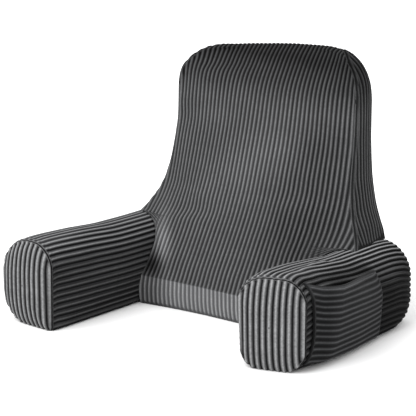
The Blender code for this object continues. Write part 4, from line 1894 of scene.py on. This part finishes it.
    def declare(self, thing: bpy.types.Object) -> None:
        """Does nothing: the pocket, a sewn sheet stretched over the arm's side, is not declared."""

    def tone(self, points: Grid, normals: Grid) -> Grid:
        """Darker on its front corner and lighter along the open edge.

        Args:
            points: The points.
            normals: Not needed here.

        Returns:
            Their tones.
        """
        forward = 1.0 - self.behind.on(points[:, 1] - FRONT_LINE_Y)
        tone = self.face_tone + self.hem_light * self.hem_ramp.on(points[:, 2])
        return tone * (1.0 - self.front_dark * forward)


# ---------------------------------------------------------------- finishes


MIX_FACTOR, MIX_FIRST, MIX_SECOND, MIX_RESULT = 0, 6, 7, 2  # a colour Mix node's sockets


class Wire:
    """A socket whose operators add Math nodes to its material."""

    def __init__(self, board: "Board", socket: bpy.types.NodeSocket) -> None:
        """Keeps the socket and the board that it is on."""
        self.board, self.socket = board, socket

    def maths(self, operation: str, first: object, second: object) -> "Wire":
        """A Math node on two values or wires."""
        node = self.board.node("ShaderNodeMath", {"operation": operation}, {0: first, 1: second})
        return Wire(self.board, node.outputs[0])

    def __add__(self, other: object) -> "Wire":
        """The sum."""
        return self.maths("ADD", self, other)

    __radd__ = __add__

    def __mul__(self, other: object) -> "Wire":
        """The product."""
        return self.maths("MULTIPLY", self, other)

    __rmul__ = __mul__

    def __pow__(self, other: object) -> "Wire":
        """The power."""
        return self.maths("POWER", self, other)

    def __rpow__(self, other: object) -> "Wire":
        """The power the other way round."""
        return self.maths("POWER", other, self)


class Board:
    """The node tree of one material."""

    def __init__(self, name: str) -> None:
        """Starts a material with its Principled shader.

        Args:
            name: The material's name.
        """
        self.material = bpy.data.materials.new(name)
        self.material.use_nodes = True
        self.tree = self.material.node_tree
        self.shader = self.tree.nodes["Principled BSDF"]

    def node(self, kind: str, settings: dict, inputs: dict) -> bpy.types.Node:
        """Adds a node.

        Args:
            kind: The node's type.
            settings: Its own settings, which are set first.
            inputs: Values or wires by the socket's name or number.

        Returns:
            The node.
        """
        node = self.tree.nodes.new(kind)
        for name, value in settings.items():
            setattr(node, name, value)
        for socket, value in inputs.items():
            self.join(node.inputs[socket], value)
        return node

    def dress(self, inputs: dict) -> None:
        """Gives the shader its values and wires, by the socket's name."""
        for socket, value in inputs.items():
            self.join(self.shader.inputs[socket], value)

    def join(self, socket: bpy.types.NodeSocket, value: object) -> None:
        """Links a wire to a socket, or sets the socket's own value.

        Args:
            socket: The socket.
            value: A wire or a value.
        """
        if isinstance(value, Wire):
            self.tree.links.new(value.socket, socket)
        else:
            socket.default_value = value

    def place(self) -> Wire:
        """The Object coordinates."""
        return Wire(self, self.node("ShaderNodeTexCoord", {}, {}).outputs["Object"])

    def noise(self, size: float, detail: float, stretch: Colour = (1.0, 1.0, 1.0)) -> Wire:
        """A noise between 0 and 1.

        Args:
            size: The lumps' size, in metres.
            detail: How many finer ones are added.
            stretch: The scale along each axis; the lumps are longer where it is small.

        Returns:
            The noise.
        """
        mapping = self.node("ShaderNodeMapping", {}, {"Vector": self.place(), "Scale": stretch})
        inputs = {"Vector": Wire(self, mapping.outputs[0]), "Scale": 1.0 / size, "Detail": detail}
        return Wire(self, self.node("ShaderNodeTexNoise", {}, inputs).outputs[0])

    def attribute(self, name: str) -> Wire:
        """A number that the mesh carries."""
        node = self.node("ShaderNodeAttribute", {"attribute_name": name}, {})
        return Wire(self, node.outputs["Fac"])

    def blend(self, share: Wire, low: Wire, high: Colour) -> Wire:
        """A mix of two colours."""
        inputs = {MIX_FACTOR: share, MIX_FIRST: low, MIX_SECOND: (*high, 1.0)}
        return Wire(self, self.node("ShaderNodeMix", {"data_type": "RGBA"}, inputs).outputs[MIX_RESULT])

    def scaled(self, colour: Wire | Colour, factor: Wire) -> Wire:
        """A colour times a number."""
        inputs = {"Vector": colour, "Scale": factor}
        return Wire(self, self.node("ShaderNodeVectorMath", {"operation": "SCALE"}, inputs).outputs[0])


@dataclass(frozen=True)
class Velvet:
    """Charcoal corduroy velvet: dark in the valleys and lighter on the crests, partly the cloth's own and
    partly painted shade in the valleys and a painted highlight along each crest.

    The mesh's tone, mostly painted light and shade, dims the crests by its first
    power and the valleys by its second. sharpness narrows the painted highlight along
    a crest. A noise is a size in metres, a detail and a stretch.
    """

    name: str
    valley: Colour = (0.0040, 0.0041, 0.0045)
    crest: Colour = (0.150, 0.152, 0.156)
    sharpness: float = 1.6
    sheen: float = 0.03
    sheen_roughness: float = 0.40
    roughness: float = 0.80
    patchiness: float = 0.35
    speckle: float = 0.40
    specular: float = 0.05
    roughness_spread: float = 0.15
    bump_strength: float = 0.4
    bump_height: float = 0.0008
    patch_noise: tuple = (0.060, 3.0)
    streak_noise: tuple = (0.030, 2.0, (0.35, 0.35, 1.6))
    pile_noise: tuple = (0.0038, 3.0)

    def material(self) -> bpy.types.Material:
        """The finish as a material.

        The crests' share is the nearness to a crest to a power, times a coarse
        and a fine noise, and it mixes the valley's colour with the crest's.

        Returns:
            The material.
        """
        board = Board(self.name)
        patches, streaks = board.noise(*self.patch_noise), board.noise(*self.streak_noise)
        pile = board.noise(*self.pile_noise)
        brushed = 1.0 - self.patchiness + self.patchiness * (patches + streaks)
        # painted highlight along the crests and painted shade in the valleys
        lit = board.attribute("crest") ** self.sharpness
        share = lit * brushed * (1.0 - self.speckle + 2.0 * self.speckle * pile)
        # tone paints light and shade on both colours
        tone = board.attribute("tone")
        colour = board.scaled(board.blend(share, board.scaled(self.valley, tone), self.crest), tone)
        roughness = self.roughness + self.roughness_spread * pile
        relief = {"Strength": self.bump_strength, "Distance": self.bump_height, "Height": pile}
        normal = Wire(board, board.node("ShaderNodeBump", {}, relief).outputs[0])
        board.dress({
            "Base Color": colour, "Roughness": roughness, "Sheen Weight": self.sheen,
            "Sheen Roughness": self.sheen_roughness, "Specular IOR Level": self.specular, "Normal": normal,
        })
        return board.material


# These four finishes are one charcoal velvet; their colours and sharpness differ partly as painted light:
# the caps, which face the light, get wide light crests, and the pocket, which faces away from it, the
# darkest colours.
BACK_VELVET = Velvet(Slot.BACK.value, (0.044, 0.0445, 0.046), (0.208, 0.210, 0.214), sharpness=2.2)
ARM_VELVET = Velvet(Slot.ARM.value, (0.030, 0.0304, 0.032), (0.275, 0.277, 0.281), sharpness=3.2)
CAP_VELVET = Velvet(Slot.CAP.value, crest=(0.255, 0.257, 0.261), sharpness=1.8, speckle=0.55)
POCKET_VELVET = Velvet(Slot.POCKET.value, (0.026, 0.0264, 0.0275), (0.115, 0.117, 0.121), sharpness=3.0)


# ---------------------------------------------------------------- studio


@dataclass(frozen=True)
class Lens:
    """The camera, at the photograph's angle."""

    azimuth_deg: float = 38.434
    elevation_deg: float = 14.880
    place: tuple[float, float, float] = (2.29168, -3.02565, 1.20959)
    focal_mm: float = 172.453
    sensor_mm: float = 36.0

    def build(self) -> bpy.types.Object:
        """Makes it the scene's camera. It looks along its own -Z, and its X stays level.

        Returns:
            The camera.
        """
        turn, lift = math.radians(self.azimuth_deg), math.radians(self.elevation_deg)
        flat = math.cos(lift)
        back = Vector((math.sin(turn) * flat, -math.cos(turn) * flat, math.sin(lift)))
        right = Vector((math.cos(turn), math.sin(turn), 0.0))
        data = bpy.data.cameras.new("camera")
        data.lens, data.sensor_width = self.focal_mm, self.sensor_mm
        thing = bpy.data.objects.new("camera", data)
        matrix = Matrix((right, back.cross(right), back)).transposed().to_4x4()
        matrix.translation = Vector(self.place)
        thing.matrix_world = matrix
        bpy.context.scene.collection.objects.link(thing)
        bpy.context.scene.camera = thing
        return thing


@dataclass(frozen=True)
class Studio:
    """A pale floor, an even white surround and soft lamps."""

    floor_size: float = 60.0
    floor_shade: Colour = (0.93, 0.93, 0.93)
    floor_roughness: float = 0.9
    surround: float = 1.20
    key_strength: float = 2.2
    key_way: tuple[float, float, float] = (0.25, 0.65, -0.80)
    key_angle_deg: float = 50.0
    fill_strength: float = 0.3
    fill_way: tuple[float, float, float] = (-0.60, 0.75, -0.50)
    fill_angle_deg: float = 60.0

    def lamp(self, name: str, strength: float, way: tuple[float, float, float], angle: float) -> None:
        """A far soft lamp.

        Args:
            name: Its name.
            strength: Its strength.
            way: The way it shines.
            angle: How wide it looks, in degrees.
        """
        data = bpy.data.lights.new(name, "SUN")
        data.energy, data.angle = strength, math.radians(angle)
        thing = bpy.data.objects.new(name, data)
        thing.rotation_euler = Vector(way).to_track_quat("-Z", "Y").to_euler()
        bpy.context.scene.collection.objects.link(thing)

    def floor(self) -> bpy.types.Object:
        """The floor, just under the pillow.

        Returns:
            The floor.
        """
        half = self.floor_size / 2.0
        data = bpy.data.meshes.new("floor")
        corners = [(-half, -half, 0.0), (half, -half, 0.0), (half, half, 0.0), (-half, half, 0.0)]
        data.from_pydata(corners, [], [(0, 1, 2, 3)])
        board = Board("floor_paint")
        shade = (*self.floor_shade, 1.0)
        board.dress({"Base Color": shade, "Roughness": self.floor_roughness, "Specular IOR Level": 0.0})
        data.materials.append(board.material)
        thing = bpy.data.objects.new("floor", data)
        bpy.context.scene.collection.objects.link(thing)
        return thing

    def build(self) -> None:
        """Sets up the surround, the lamps and the floor."""
        world = bpy.data.worlds.new("surround")
        world.use_nodes = True
        shade = world.node_tree.nodes["Background"]
        shade.inputs["Color"].default_value = (1.0, 1.0, 1.0, 1.0)
        shade.inputs["Strength"].default_value = self.surround
        scene = bpy.context.scene
        scene.world = world
        scene.view_settings.view_transform = "Standard"
        scene.view_settings.look = "None"
        self.lamp("key", self.key_strength, self.key_way, self.key_angle_deg)
        self.lamp("fill", self.fill_strength, self.fill_way, self.fill_angle_deg)
        self.floor()


def main() -> None:
    """Builds the studio and every piece of the pillow."""
    logging.basicConfig(level=logging.INFO)
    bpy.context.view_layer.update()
    Lens().build()
    Studio().build()
    left = ArmForm(side=-1.0, stations=LEFT_STATIONS)
    right = ArmForm(side=1.0, stations=RIGHT_STATIONS, front_foot=0.025, front_bulge=0.006)
    filling = Filling()
    arm_velvet, cap_velvet = ARM_VELVET.material(), CAP_VELVET.material()
    BackCushion("back", ("back_cushion",), left).build(filling, BACK_VELVET.material())
    Arm("left_bolster", ("left_arm",), left, seed=21).build(filling, arm_velvet)
    EndCap("left_cap", ("left_end_cap",), left, seed=26).build(filling, cap_velvet)
    # the right arm gets a lighter painted top and painted shade on its outer face beside the pocket
    with_pocket = {"covered": (-0.170, 0.100), "top_tone": 1.12, "outer_dark": 0.77}
    Arm("right_bolster", ("right_arm",), right, seed=31, **with_pocket).build(filling, arm_velvet)
    EndCap("right_cap", ("right_end_cap",), right, seed=36).build(filling, cap_velvet)
    SidePocket("pocket", ("side_pocket",), right).build(filling, POCKET_VELVET.material())


if __name__ == "__main__":
    main()
